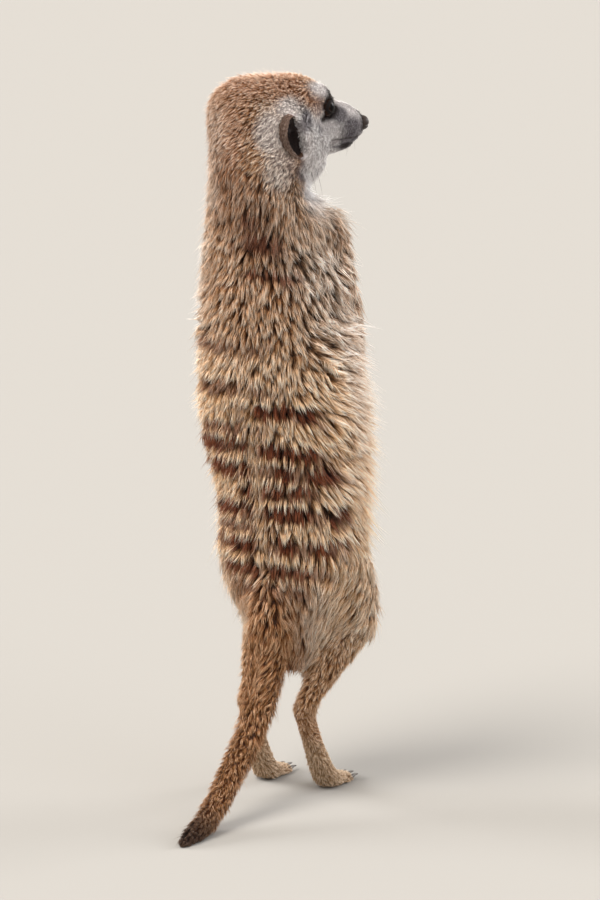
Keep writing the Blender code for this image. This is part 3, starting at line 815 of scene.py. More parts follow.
class MEERKAT_OT_skin(bpy.types.Operator):
    """Make one skin from all the flesh, inside it by the coat's depth, with the ears' hollows, the lids'
    seats and the line of the mouth"""

    bl_idname = "meerkat.skin"
    bl_label = "Skin"

    def execute(self, context):
        sizes = context.scene.meerkat_skin
        source = mesh_object("flesh", swollen_flesh(sizes.swell))
        remesh = source.modifiers.new("remesh", "REMESH")
        remesh.mode = "VOXEL"
        remesh.voxel_size = sizes.voxel
        skin_mesh = evaluated_mesh(source)
        skin_mesh.name = "skin"
        if len(skin_mesh.vertices) < FEWEST_VERTICES:
            raise RuntimeError("the flesh didn't fuse into a skin")
        points, edges = vertex_places(skin_mesh), edges_of(skin_mesh)
        place_vertices(skin_mesh, smoothed(points, edges, 8))
        # The face's triangles are cut finer, and again along the mouth and round the eyes.
        at = face_middles(skin_mesh)
        f, _, u = HEAD.inward(at).T
        cut_finer(skin_mesh, (f > 12) & (u > -22) | (to_eyes(at) < 13))
        at = face_middles(skin_mesh)
        f, _, u = HEAD.inward(at).T
        cut_finer(skin_mesh, (f > 22) & (np.abs(u - mouth_height(f)) < 2.6) | (to_eyes(at) < 7.6))

        points, edges = vertex_places(skin_mesh), edges_of(skin_mesh)
        labels = nearest_nodes(points)
        points = smoothed(points, edges, 4)
        eased = relaxed(points, edges, 8, 0.5)
        skull = is_on(labels, "head", "lower_jaw")
        keep = relaxed(((face_share(points) > 0.5) & skull).astype(float), edges, 4)[:, None]
        points = points * keep + eased * (1 - keep)
        depth = coat_depth(points, labels, edges) + sizes.swell / MM
        # The soles and the tail's underside stay on the floor.
        depth *= ramp(points[:, 2], 0.4, 4.0) * 0.92 + 0.08
        for _ in range(STEPS_IN):
            place_vertices(skin_mesh, points)
            normals = unit(relaxed(vertex_normals(skin_mesh), edges, 3))
            points = points - normals * (depth / STEPS_IN)[:, None]
            points = relaxed(points, edges, 1, 0.25)
        points = drawn_to_eyes(points)
        # Under each ear the skin drops away, clear of the hollow.
        for side in SIDES:
            share, rise = ear_share(points, side)
            drop = ramp(share, 1.0, 0.84) * (rise + 6.2).clip(0, 9) * (np.abs(rise) < 9)
            points = points - ear_axes(side)[2] * drop[:, None]
        place_vertices(skin_mesh, points)
        normals = unit(relaxed(vertex_normals(skin_mesh), edges, 2))
        mouth = mouth_line(points) * skull
        points -= normals * (MOUTH_DEEP * mouth)[:, None]
        points[:, 2] = points[:, 2].clip(0.05)
        place_vertices(skin_mesh, points)

        bare = [mouth > 0.45]
        hollow = np.repeat([share < 0.9 and rise > -5 for share, rise, _ in EAR_RINGS], EAR_AROUND)
        for side in SIDES:
            labels = np.append(labels, [FLESH.index(f"ear_{side}")] * len(hollow))
            depth = np.append(depth, [COAT_OF["ear"][DEPTH]] * len(hollow))
            bare.append(hollow)
        whole = joined([ear_skin(side) for side in SIDES], skin_mesh)
        whole.to_mesh(skin_mesh)
        whole.free()
        points = vertex_places(skin_mesh)
        for zone, strength in markings(points, labels).items():
            store(skin_mesh, zone, strength)
        store(skin_mesh, "label", labels)
        store(skin_mesh, "depth", depth)
        store(skin_mesh, "bare", np.concatenate(bare))
        skin = mesh_object("skin", skin_mesh, skin_material())
        skin_mesh.shade_smooth()
        triangles = sum(len(p.vertices) - 2 for p in skin_mesh.polygons)
        if triangles > MOST_TRIANGLES:
            raise RuntimeError(f"the skin has {triangles} triangles")
        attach(skin, "root")
        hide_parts(*FLESH)
        print("skin", triangles, "triangles")
        return {"FINISHED"}


# ---------------------------------------------------------------- coat


def lie_of_nodes():
    """The way the hair lies on each node of the flesh, before it is eased over the skin."""
    down = np.array((0.0, 0.0, -1.0))
    back = -HEAD.forwards
    tail_fall = middle("tail_middle") - middle("tail_base")
    tail_run = middle("tail_tip") - middle("tail_middle")
    lie = {
        "head": back + 0.75 * down, "lower_jaw": back + 0.2 * down, "neck": down + 0.12 * back,
        "chest": down, "belly": down, "tail_base": unit(tail_fall) + (0, 0.05, 0),
        "tail_middle": unit(tail_fall) + unit(tail_run), "tail_tip": unit(tail_run),
    }
    for side in SIDES:
        out = np.array((1.0 if side == "left" else -1.0, 0, 0))
        hand, foot = middle(f"hand_{side}"), middle(f"foot_{side}")
        lie[f"ear_{side}"] = 0.3 * back + down
        lie[f"upper_arm_{side}"] = unit(middle(f"forearm_{side}") - middle(f"upper_arm_{side}")) + 0.1 * out
        lie[f"forearm_{side}"] = unit(hand - middle(f"forearm_{side}"))
        lie[f"hand_{side}"] = unit(middle(f"claw_hand_{side}_2") - hand)
        lie[f"thigh_{side}"] = np.array((0, 0.3, -1.0))
        lie[f"shank_{side}"] = np.array((0, 0.8, -1.0)) - 0.1 * out
        lie[f"foot_{side}"] = unit(middle(f"claw_foot_{side}_2") - foot)
    return np.array([unit(lie[name]) for name in FLESH])


def lie_field(points, normals, labels, edges):
    """The lie of the coat at every vertex of the skin: a unit vector along the surface."""
    lie = lie_of_nodes()[labels]
    aside, height = np.abs(off_spine(points)), points[:, 2]
    trunk = is_on(labels, "chest", "belly")
    # Down the flanks the hair sweeps forwards to the belly; over the thighs it curves back to the tail.
    sweep = ramp(aside, 14, 66) * ramp(height, 248, 218) * (0.25 + 0.75 * ramp(height, 118, 160))
    lie[:, 1] -= sweep * trunk
    lie[:, 1] += ramp(aside, 30, 70) * ramp(height, 118, 92) * (trunk | is_on(labels, "thigh")) * 0.75

    def flat(vectors):
        """Unit vectors along the surface."""
        return unit(vectors - normals * (vectors * normals).sum(axis=1, keepdims=True))

    for _ in range(5):
        lie = relaxed(flat(lie), edges, 5)
    lie = flat(lie)
    # It parts round the eyes, and round the front of each ear.
    for side in SIDES:
        from_eye = points - middle(f"eye_{side}")
        from_ear = points - ear_axes(side)[0]
        by_eye = ramp(np.linalg.norm(from_eye, axis=1), 11.5, 6.5)
        by_ear = ramp(ear_share(points, side)[0], 2.3, 1.3) * is_on(labels, "head", "lower_jaw")
        by_ear *= np.linalg.norm(from_ear, axis=1) < 24
        for off, near, least, wanted in ((from_eye, by_eye, 0.15, 0.35), (from_ear, by_ear, 0.05, 0.1)):
            away = flat(off)
            towards = np.minimum((lie * away).sum(axis=1, keepdims=True), least)
            lie = unit(lie + near[:, None] * away * (wanted - towards))
    return lie


# The coat's sizes on the face and at the end of the muzzle, and how far forwards each of the two is in mm.
ON_FACE = {
    LENGTH: (2.9, 1.4), WIDTH: (0.21, 0.15), DENSITY: (850, 1400), LOCK: (1.0, 0.7), DRAW: (0.16, 0.08),
}
FACE_TO_MUZZLE = (18, 40)


class Skin:
    """The finished skin as arrays, in mm, for the coat to grow on."""

    def __init__(self):
        mesh = bpy.data.objects["skin"].data
        mesh.calc_loop_triangles()
        self.points, self.normals, self.edges = vertex_places(mesh), vertex_normals(mesh), edges_of(mesh)
        self.labels = stored(mesh, "label").astype(int)
        self.faces = gathered(mesh.loop_triangles, "vertices", 3, np.int32)
        corners = self.points[self.faces]
        cross = np.cross(corners[:, 1] - corners[:, 0], corners[:, 2] - corners[:, 0])
        self.areas = np.linalg.norm(cross, axis=1) / 2
        self.areas *= stored(mesh, "bare")[self.faces].max(axis=1) < 0.5
        self.face_labels = self.labels[self.faces[:, 0]]
        self.depth = stored(mesh, "depth")
        self.lie = lie_field(self.points, self.normals, self.labels, self.edges)
        field = {}
        f, left, u = HEAD.inward(self.points).T
        for column, sizes in ON_FACE.items():
            field[column] = eased_to_face(coat_field(self.labels, self.edges, column),
                                          np.interp(f, FACE_TO_MUZZLE, sizes),
                                          self.points, self.labels, self.edges, 3)
        # Hair is short where it meets the ears and the eyes.
        for side, own_side in (("left", left > 0), ("right", left < 0)):
            close = ramp(ear_share(self.points, side)[0], 2.2, 1.2) * is_on(self.labels, "head", "lower_jaw")
            field[LENGTH] *= 1 - 0.4 * close * own_side
        close = ramp(to_eyes(self.points), 12, 6)
        field[LENGTH] *= 1 - 0.6 * close
        field[WIDTH] *= 1 - 0.25 * close
        # Down the middle of the back it is shorter than along the sides.
        trunk = is_on(self.labels, "chest", "belly")
        aside, height = np.abs(off_spine(self.points)), self.points[:, 2]
        saddle = ramp(aside, 62, 30) * ramp(height, 215, 150) + ramp(aside, 90, 45) * ramp(height, 150, 215)
        field[LENGTH] *= 1 - 0.36 * saddle * trunk
        # It is short and close down the belly, and drawn into deep locks over the shoulders.
        field[LENGTH] *= 1 - 0.34 * trunk * ramp(aside, 112, 146)
        shoulder = trunk * ramp(aside, 44, 66) * ramp(aside, 132, 112) * ramp(height, 186, 206)
        arms = is_on(self.labels, "upper_arm")
        field[DRAW] += 0.14 * shoulder
        field[LOCK] *= 1 + 0.3 * np.maximum(shoulder, arms)
        self.coarse = relaxed(np.maximum(shoulder, arms).astype(float), self.edges, 4)
        # Down the throat it is longer and looser.
        throat = ramp(f, 2, 9) * ramp(u, -14, -22) * ramp(u, -50, -40)
        self.depth *= 1 + 0.9 * throat
        field[LENGTH] *= 1 + 0.25 * throat
        self.field = field
        self.tree = BVHTree.FromPolygons([Vector(p) for p in self.points], self.faces.tolist())

    def hugging(self, places, heights):
        """Each place moved to the given height over the nearest skin: (points, normals)."""
        found = [self.tree.find_nearest(Vector(p)) for p in places]
        on = np.array([f[0] for f in found])
        normal = np.array([f[1] for f in found])
        return on + normal * heights[:, None], normal

    def sown(self, weights, count, random):
        """count points spread over the skin's faces by weight: (faces, corner shares)."""
        total = np.cumsum(weights)
        at = (np.arange(count) + random.random(count)) / count * total[-1]
        face = np.searchsorted(total, at).clip(0, len(weights) - 1)
        a, b = random.random((2, count))
        flip = a + b > 1
        a, b = np.where(flip, 1 - a, a), np.where(flip, 1 - b, b)
        return face, np.stack([1 - a - b, a, b], axis=1)

    def read(self, values, face, shares):
        corners = values[self.faces[face]]
        return np.einsum("nk,nk...->n...", shares, corners)

    def laid_flat(self, owned):
        """An unwrap of the owned faces: where each of a face's three corners lies on the flat sheet."""
        index = np.flatnonzero(owned)
        used, corner = np.unique(self.faces[index], return_inverse=True)
        mesh = bpy.data.meshes.new("sheet")
        mesh.from_pydata((self.points[used] * MM).tolist(), [], corner.reshape(-1, 3).tolist())
        sheet = mesh_object("sheet", mesh)
        bpy.context.view_layer.objects.active = sheet
        sheet.select_set(True)
        bpy.ops.object.mode_set(mode="EDIT")
        bpy.ops.mesh.select_all(action="SELECT")
        bpy.ops.uv.smart_project(angle_limit=math.radians(70), island_margin=0.004)
        bpy.ops.object.mode_set(mode="OBJECT")
        flat = gathered(mesh.uv_layers.active.data, "uv", 2)
        bpy.data.objects.remove(sheet)
        bpy.data.meshes.remove(mesh)
        places = np.zeros((len(self.faces), 3, 2))
        places[index] = flat.reshape(-1, 3, 2)
        return places


# The coat's pieces and the nodes whose skin each one grows on.
COAT_PIECES = {
    "coat_head": ("head",), "coat_jaw": ("lower_jaw",), "coat_ears": ("ear_left", "ear_right"),
    "coat_neck": ("neck",), "coat_chest": ("chest",), "coat_belly": ("belly",),
    "coat_tail": ("tail_base", "tail_middle", "tail_tip"),
    **{f"coat_arm_{s}": (f"upper_arm_{s}", f"forearm_{s}", f"hand_{s}") for s in SIDES},
    **{f"coat_leg_{s}": (f"thigh_{s}", f"shank_{s}", f"foot_{s}") for s in SIDES},
}


def turned_about(vectors, axes, angles):
    """Vectors turned about unit axes that are square to them."""
    return vectors * np.cos(angles)[:, None] + np.cross(axes, vectors) * np.sin(angles)[:, None]


# Where a lock's middle and tip lie along it, as shares of its length, and how high its middle stands, as a
# share of its depth.
LOCK_MIDDLE, LOCK_TIP, MIDDLE_HIGH = 0.46, 0.94, 0.68
# Guard hairs are longer and finer than the rest, by these shares.
GUARD_LONG, GUARD_FINE = 1.12, 0.6
# The share of the flanks' tufts that are long and loose, and how fine they are.
WISPY, WISPY_FINE = 0.17, 0.75
# No tuft stands over an eye within this far of its middle, or roots within this far of the nose, in mm.
EYE_REACH, NOSE_CLEAR = 9, 0.3


def grow(skin, nodes, sizes, seed):
    """The faces of the skin that these nodes own, and their tufts: {name: an array, a row to a tuft}."""
    random = np.random.default_rng(seed)
    owned = np.isin(skin.face_labels, [FLESH.index(n) for n in nodes])
    density = skin.field[DENSITY][skin.faces].mean(axis=1) / 100
    weights = skin.areas * owned * density * sizes.density
    spacing = skin.field[LOCK][skin.faces].mean(axis=1)
    lock_weights = skin.areas * owned / spacing**2 * 1.1

    # Locks: where each starts, and where its middle and tip lie.
    face, shares = skin.sown(lock_weights, max(int(lock_weights.sum()), 8), random)
    start = skin.read(skin.points, face, shares)
    normal = unit(skin.read(skin.normals, face, shares))
    lie = unit(skin.read(skin.lie, face, shares))
    coarse = skin.read(skin.coarse, face, shares)
    stray = (cloud(start, 9.0, 21) - 0.5) * (1.1 + 0.8 * coarse) + random.normal(0, 0.16, len(start))
    lie = turned_about(lie, normal, stray * sizes.stray)
    long = skin.read(skin.field[LENGTH], face, shares) * sizes.length * random.uniform(0.74, 1.2, len(start))
    deep = skin.read(skin.depth, face, shares) * random.uniform(0.6, 1.12, len(start))
    tip, _ = skin.hugging(start + lie * (long * LOCK_TIP)[:, None], deep)
    bend = np.cross(normal, lie) * (random.normal(0, 0.05, len(start)) * long * (1 + 1.4 * coarse))[:, None]
    mid, _ = skin.hugging(start + lie * (long * LOCK_MIDDLE)[:, None] + bend, deep * MIDDLE_HIGH)
    spare = KDTree(len(start))
    for i, p in enumerate(start):
        spare.insert(p, i)
    spare.balance()

    # Tufts: each leans into its lock, highest along the lock's crest, where it gets painted light;
    # down the lock's sides and in the gaps between locks it gets painted shade.
    count = int(weights.sum())
    face, shares = skin.sown(weights, count, random)
    root = skin.read(skin.points, face, shares)
    up = unit(skin.read(skin.normals, face, shares))
    lock = np.array([spare.find(p)[1] for p in root])
    width = skin.read(skin.field[WIDTH], face, shares) * sizes.width * random.uniform(0.7, 1.25, count)
    draw = skin.read(skin.field[DRAW], face, shares)[:, None] * random.uniform(0.7, 1.15, (count, 1))
    depth = skin.read(skin.depth, face, shares)
    off = root - start[lock]
    crest = 1 - (np.linalg.norm(off, axis=1) / (0.72 * spacing[face])).clip(0, 1)
    reach = random.uniform(0.62, 1.1, (count, 1))
    guard = random.random(count) < sizes.guard * np.interp(depth, (0.5, 2.5), (0.2, 1))
    reach[guard] *= GUARD_LONG
    width[guard] *= GUARD_FINE
    run = mid[lock] + off * (1 - 0.5 * draw) - root
    middle_at = root + run * reach
    end = tip[lock] + off * (1 - draw) - root
    tip_at = root + end * reach
    loose = random.normal(0, 1, (count, 3)) * width[:, None]
    middle_at += loose * 0.35 + up * (depth * (0.34 * crest - 0.14))[:, None]
    tip_at += loose * 0.9 + up * (depth * (0.40 * crest - 0.18))[:, None]
    stand = np.where(guard, random.uniform(0.15, 0.85, count) * depth, 0)
    # Long loose hair stands out along the flanks, behind the elbows.
    aside, height = np.abs(off_spine(root)), root[:, 2]
    fringe = ramp(aside, 74, 92) * ramp(aside, 142, 122) * ramp(height, 112, 132) * ramp(height, 226, 200)
    fringe *= is_on(skin.face_labels[face], "chest", "belly")
    wispy = (random.random(count) < WISPY * fringe) & ~guard
    stand += np.where(wispy, random.uniform(1.5, 6.5, count), 0)
    tip_at += np.where(wispy, random.uniform(0.2, 0.55, count), 0)[:, None] * end
    width[wispy] *= WISPY_FINE
    middle_at += up * (stand * 0.35)[:, None]
    tip_at += up * stand[:, None]

    # None grows over the eyes, in the ears' hollows, on the nose pad or under the soles.
    keep = np.ones(count, bool)
    for side in SIDES:
        for places, least in ((root, 1.0), (tip_at, 0.9)):
            off = places - middle(f"eye_{side}")
            reach = np.linalg.norm(off, axis=1).clip(1e-6)
            angle = np.arccos((off @ eye_facing(side) / reach).clip(-1, 1))
            keep &= (angle > sizes.eye_clearing * least) | (reach > EYE_REACH)
        if "ear_left" not in nodes:
            for places in (root, middle_at, tip_at):
                share, rise = ear_share(places, side)
                before = (places - ear_axes(side)[0]) @ ear_axes(side)[1] > 0.8
                least = np.where(before, 0.9 if places is root else 0.66, 1.0)
                keep &= (share > least) | (rise < -1.5) & (share > 0.9) | (np.abs(rise) > 9)
    low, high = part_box("nose")
    from_nose = (root - middle("nose")) / (np.array(high - low) / 2 / MM + NOSE_CLEAR)
    keep &= np.linalg.norm(from_nose, axis=1) > 1
    keep &= ~((up[:, 2] < -0.6) & (root[:, 2] < 3))
    # Each tuft's tone: random from tuft to tuft and from lock to lock, plus painted light on a lock's crest
    # and painted shade down its sides, stretched furthest in the coarse locks over the shoulders, where the
    # painted shade in the gaps goes darker than the roots' own colour.
    tone_and_painted_lock_shade = 0.24 * random.random(count) + 0.30 * random.random(len(start))[lock] + 0.46 * crest
    coarse = skin.read(skin.coarse, face, shares)
    tone_and_painted_lock_shade = ((tone_and_painted_lock_shade - 0.48) * (1.6 + 1.2 * coarse) + 0.5 - 0.04 * coarse).clip(-0.5 * coarse, 1 + 0.3 * coarse)
    # Guard hairs and long loose hairs are paler: partly their own pale tips, partly painted light for the
    # glow where light shines through tips that stand out of the coat.
    tone_and_painted_lock_shade = np.where(wispy | guard, 0.6 + 0.4 * tone_and_painted_lock_shade, tone_and_painted_lock_shade)
    tufts = {"root": root, "middle": middle_at, "tip": tip_at, "up": up, "width": width, "tone_and_painted_lock_shade": tone_and_painted_lock_shade,
             "label": skin.face_labels[face], "face": face, "shares": shares}
    return owned, {name: values[keep] for name, values in tufts.items()}


# A tuft's five corners on its own patch of the flat sheet, as shares of the patch, from root to tip.
PATCH = np.array([(-0.5, 0.0), (0.0, -0.35), (0.0, 0.35), (0.0, 0.0), (0.5, 0.0)])
PATCH_ACROSS = 0.003
# Its corners' places along the hair, and its faces.
ALONG = (0, 0.5, 0.5, 0.5, 1.0)
TUFT_CORNERS = len(ALONG)
TUFT_FACES = np.array([(0, 2, 1), (0, 1, 3), (0, 3, 2), (4, 1, 2), (4, 3, 1), (4, 2, 3)])
# How far a tuft's root is sunk into the skin, and how near the floor any corner may come, in mm.
ROOTED, LOWEST = 0.4, 0.12


def tuft_mesh(name, tufts, flat):
    """One mesh of closed spindles, each from a sharp root through a three-sided middle to a sharp tip."""
    root, mid, tip, up = (tufts[k] for k in ("root", "middle", "tip", "up"))
    count = len(root)
    run = unit(tip - root)
    across = unit(np.cross(run, up))
    over = np.cross(across, run)
    half = tufts["width"][:, None] / 2
    verts = np.stack([
        root - up * ROOTED, mid - across * half, mid + across * half, mid + over * half * 0.8, tip], axis=1)
    verts[:, :, 2] = verts[:, :, 2].clip(LOWEST)
    faces = (np.arange(count)[:, None, None] * TUFT_CORNERS + TUFT_FACES).reshape(-1, 3)
    mesh = bpy.data.meshes.new(name)
    mesh.vertices.add(count * TUFT_CORNERS)
    mesh.loops.add(len(faces) * 3)
    mesh.polygons.add(len(faces))
    mesh.vertices.foreach_set("co", (verts.reshape(-1, 3) * MM).astype(np.float32).ravel())
    mesh.loops.foreach_set("vertex_index", faces.astype(np.int32).ravel())
    mesh.polygons.foreach_set("loop_start", np.arange(len(faces), dtype=np.int32) * 3)
    mesh.polygons.foreach_set("use_smooth", np.ones(len(faces), bool))
    mesh.update(calc_edges=True)
    on_sheet = np.einsum("nk,nkc->nc", tufts["shares"], flat[tufts["face"]])
    patches = on_sheet[:, None, :] + PATCH[TUFT_FACES.ravel()] * PATCH_ACROSS
    mesh.uv_layers.new(name="OFBake").data.foreach_set("uv", patches.astype(np.float32).ravel())
    store(mesh, "along", np.tile(ALONG, count))
    store(mesh, "tone_and_painted_lock_shade", np.repeat(tufts["tone_and_painted_lock_shade"], TUFT_CORNERS))
    shown_at = tufts["root"] * 0.25 + tufts["tip"] * 0.75
    for zone, strength in markings(shown_at, tufts["label"]).items():
        store(mesh, zone, np.repeat(strength, TUFT_CORNERS))
    return mesh


class MEERKAT_OT_coat(bpy.types.Operator):
    """Grow the coat: mesh tufts over the skin, drawn into locks that follow the lie of the hair"""

    bl_idname = "meerkat.coat"
    bl_label = "Coat"

    def execute(self, context):
        sizes = context.scene.meerkat_coat
        if "skin" not in bpy.data.objects:
            raise RuntimeError("the coat needs the skin first")
        skin = Skin()
        material = fur_material()
        total = 0
        for seed, (name, nodes) in enumerate(COAT_PIECES.items()):
            owned, tufts = grow(skin, nodes, sizes, 100 + seed)
            flat = skin.laid_flat(owned)
            count = len(tufts["root"])
            shares = math.ceil(count * len(TUFT_FACES) / MOST_TRIANGLES)
            total += count
            print(name, count, "tufts")
            for share in range(shares):
                own = {key: values[share::shares] for key, values in tufts.items()}
                title = name if shares == 1 else f"{name}_{share + 1}"
                coat = mesh_object(title, tuft_mesh(title, own, flat), material)
                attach(coat, "root")
        print("coat", total, "tufts", total * len(TUFT_FACES), "triangles")
        return {"FINISHED"}


# ---------------------------------------------------------------- eyes, nose, whiskers, claws


def eye_material():
    """Wet cornea over a dark brown iris: glossy, almost black in the middle."""
    material, tree = new_material("wet dark eye")
    place = add(tree, "ShaderNodeTexCoord").outputs["Object"]
    streaks = add(tree, "ShaderNodeTexNoise", {
        "Vector": place, "Scale": 1 / (0.5 * MM), "Detail": 2.0}).outputs["Fac"]
    iris = add(tree, "ShaderNodeValToRGB", {"Fac": streaks}, [(0.3, "#140904"), (0.7, "#2c180c")])
    # Out from the pupil comes the iris, and then the dark rim.
    from_pupil = add(tree, "ShaderNodeAttribute", attribute_name="from_pupil").outputs["Fac"]
    past_pupil, past_iris = (
        add(tree, "ShaderNodeValToRGB", {"Fac": from_pupil}, [(start, "#000000"), (end, "#ffffff")])
        for start, end in ((0.36, 0.42), (0.80, 0.9)))
    laid = {SHARE: past_pupil.outputs["Color"], UNDER: linear("#060404"), OVER: iris.outputs["Color"]}
    colour = add(tree, "ShaderNodeMix", laid, data_type="RGBA").outputs[MIXED]
    laid = {SHARE: past_iris.outputs["Color"], UNDER: colour, OVER: linear("#120a08")}
    colour = add(tree, "ShaderNodeMix", laid, data_type="RGBA").outputs[MIXED]
    shader = add(tree, "ShaderNodeBsdfPrincipled", {
        "Base Color": colour, "Roughness": 0.12, "IOR": 1.376, "Specular IOR Level": 0.06, "Coat Weight": 0.1,
        "Coat Roughness": 0.03})
    add(tree, "ShaderNodeOutputMaterial", {"Surface": shader.outputs["BSDF"]})
    return material


# The cornea: how wide it reaches and how far it stands out, as shares of the eyeball's radius.
CORNEA_REACH, CORNEA_RISE = 0.72, 0.07
# A meerkat's pupil is wider than it is tall: its height as a share of its width.
PUPIL_TALL = 0.8


class MEERKAT_OT_eyes(bpy.types.Operator):
    """Make the eyeballs, with a slight cornea, and the dark lids round them"""

    bl_idname = "meerkat.eyes"
    bl_label = "Eyes and lids"

    def execute(self, context):
        sizes = context.scene.meerkat_face
        eye, lid = eye_material(), lid_material()
        for side in SIDES:
            low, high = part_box(f"eye_{side}")
            radius = (high.z - low.z) / 2
            facing = Vector(eye_facing(side))
            turn = facing.to_track_quat("Z", "Y").to_matrix().to_4x4()
            turn.translation = (low + high) / 2
            ball = bmesh.new()
            bmesh.ops.create_uvsphere(ball, u_segments=48, v_segments=32, radius=radius)
            for vert in ball.verts:
                off_axis = math.hypot(vert.co.x, vert.co.y) / radius
                if vert.co.z > 0 and off_axis < CORNEA_REACH:
                    vert.co.z += radius * CORNEA_RISE * math.cos(off_axis / CORNEA_REACH * math.pi / 2)
            from_pupil = [math.hypot(vert.co.x * PUPIL_TALL, vert.co.y) / radius if vert.co.z > 0 else 1.0
                          for vert in ball.verts]
            bmesh.ops.transform(ball, matrix=turn, verts=ball.verts)
            mesh = as_mesh(f"eyeball_{side}", ball)
            store(mesh, "from_pupil", from_pupil)
            eyeball = mesh_object(f"eyeball_{side}", mesh, eye)
            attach(eyeball, "root")
            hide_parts(f"eye_{side}")
            lids = mesh_object(f"eyelids_{side}", lid_mesh(side, radius, sizes), lid)
            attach(lids, "root")
        return {"FINISHED"}


def lid_material():
    """Bare lid skin: thin, dark brown and slightly moist, with fine creases round the eye."""
    material, tree = new_material("dark lid skin")
    place = add(tree, "ShaderNodeTexCoord").outputs["Object"]
    grain = add(tree, "ShaderNodeTexNoise", {
        "Vector": place, "Scale": 1 / (0.35 * MM), "Detail": 4.0}).outputs["Fac"]
    colour = add(tree, "ShaderNodeValToRGB", {"Fac": grain}, [(0.25, "#0b0706"), (0.75, "#1b1311")])
    bump = add(tree, "ShaderNodeBump", {"Height": grain, "Strength": 0.5, "Distance": 0.12 * MM})
    shader = add(tree, "ShaderNodeBsdfPrincipled", {
        "Base Color": colour.outputs["Color"], "Roughness": 0.62, "Specular IOR Level": 0.12,
        "Normal": bump.outputs["Normal"]})
    add(tree, "ShaderNodeOutputMaterial", {"Surface": shader.outputs["BSDF"]})
    return material


# The lids from the edge of the opening outwards: how far out, as a share of their breadth, and how high
# over the eyeball in mm. Their breadth is in radians round the eye.
LID_RINGS = ((0.0, 0.08), (0.0, 0.26), (0.04, 0.38), (0.14, 0.36), (0.32, 0.24), (0.5, -0.02), (0.8, -0.8))
LID_AROUND, LID_BREADTH = 56, 0.62
# The opening's outline lies between a diamond's, at 1, and an ellipse's, at 2.
ALMOND = 1.5


def lid_mesh(side, radius, sizes):
    """Both lids as one rim: from an almond opening on the eyeball out under the coat."""
    facing = Vector(eye_facing(side))
    level = Vector(HEAD.turned((0.77, -0.62 if side == "left" else 0.62, 0.0))).normalized()
    tall = facing.cross(level).normalized()
    if tall.z < 0:
        tall = -tall
    low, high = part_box(f"eye_{side}")
    centre = (low + high) / 2
    rim = bmesh.new()
    bmesh.ops.create_circle(rim, segments=LID_AROUND, radius=radius)
    ring = list(rim.verts)
    edges = list(rim.edges)

    def shape(verts, outward, lift):
        for vert, angle in verts:
            wide, high_open = math.cos(angle), math.sin(angle)
            # The opening reaches further forwards, to the tear corner, than back.
            spread = sizes.opening_width * (1.08 if wide > 0 else 0.94)
            shares = (abs(wide / spread), abs(high_open / sizes.opening_height))
            reach = sum(share**ALMOND for share in shares) ** (-1 / ALMOND)
            lean = math.radians(reach) + outward * LID_BREADTH
            flat = level * wide + tall * high_open
            vert.co = centre + (facing * math.cos(lean) + flat * math.sin(lean)) * (radius + lift * MM)

    angles = [math.atan2(v.co.y, v.co.x) for v in ring]
    shape(zip(ring, angles), *LID_RINGS[0])
    for outward, lift in LID_RINGS[1:]:
        made = bmesh.ops.extrude_edge_only(rim, edges=edges)["geom"]
        fresh = [g for g in made if isinstance(g, bmesh.types.BMVert)]
        edges = [g for g in made if isinstance(g, bmesh.types.BMEdge) and all(v in fresh for v in g.verts)]
        old = {vert: min(range(LID_AROUND), key=lambda k: (ring[k].co - vert.co).length_squared)
               for vert in fresh}
        ring, angles = fresh, [angles[old[vert]] for vert in fresh]
        shape(zip(ring, angles), outward, lift)
    bmesh.ops.recalc_face_normals(rim, faces=rim.faces)
    # The rim is open, so its outside is the side that most of its area turns away from the eye.
    away = sum(face.calc_area() * face.normal.dot(face.calc_center_median() - centre) for face in rim.faces)
    if away < 0:
        bmesh.ops.reverse_faces(rim, faces=rim.faces)
    return as_mesh(f"eyelids_{side}", rim)


def nose_material():
    """Rhinarium: bare, moist skin with a fine pebbled grain, dark grey-brown."""
    material, tree = new_material("moist pebbled nose")
    place = add(tree, "ShaderNodeTexCoord").outputs["Object"]
    # Pebbles on a meerkat's nose are about 0.3 mm; drawn at 0.45 mm so that they show.
    pebbles = add(tree, "ShaderNodeTexVoronoi", {"Vector": place, "Scale": 1 / (0.45 * MM)})
    tone = add(tree, "ShaderNodeTexNoise", {"Vector": place, "Scale": 1 / (1.5 * MM)}).outputs["Fac"]
    laid = {SHARE: tone, UNDER: linear("#1e1613"), OVER: linear("#433630")}
    colour = add(tree, "ShaderNodeMix", laid, data_type="RGBA").outputs[MIXED]
    bump = add(tree, "ShaderNodeBump", {
        "Height": pebbles.outputs["Distance"], "Strength": 0.7, "Distance": 0.12 * MM}, invert=True)
    shader = add(tree, "ShaderNodeBsdfPrincipled", {
        "Base Color": colour, "Roughness": 0.48, "Specular IOR Level": 0.28, "Coat Weight": 0.06,
        "Coat Roughness": 0.2, "Normal": bump.outputs["Normal"]})
    add(tree, "ShaderNodeOutputMaterial", {"Surface": shader.outputs["BSDF"]})
    return material


# The nose pad's half depth, half width and half height in mm, and how deep its groove is.
NOSE_DEEP, NOSE_WIDE, NOSE_TALL, GROOVE = 3.2, 3.7, 3.3, 0.55


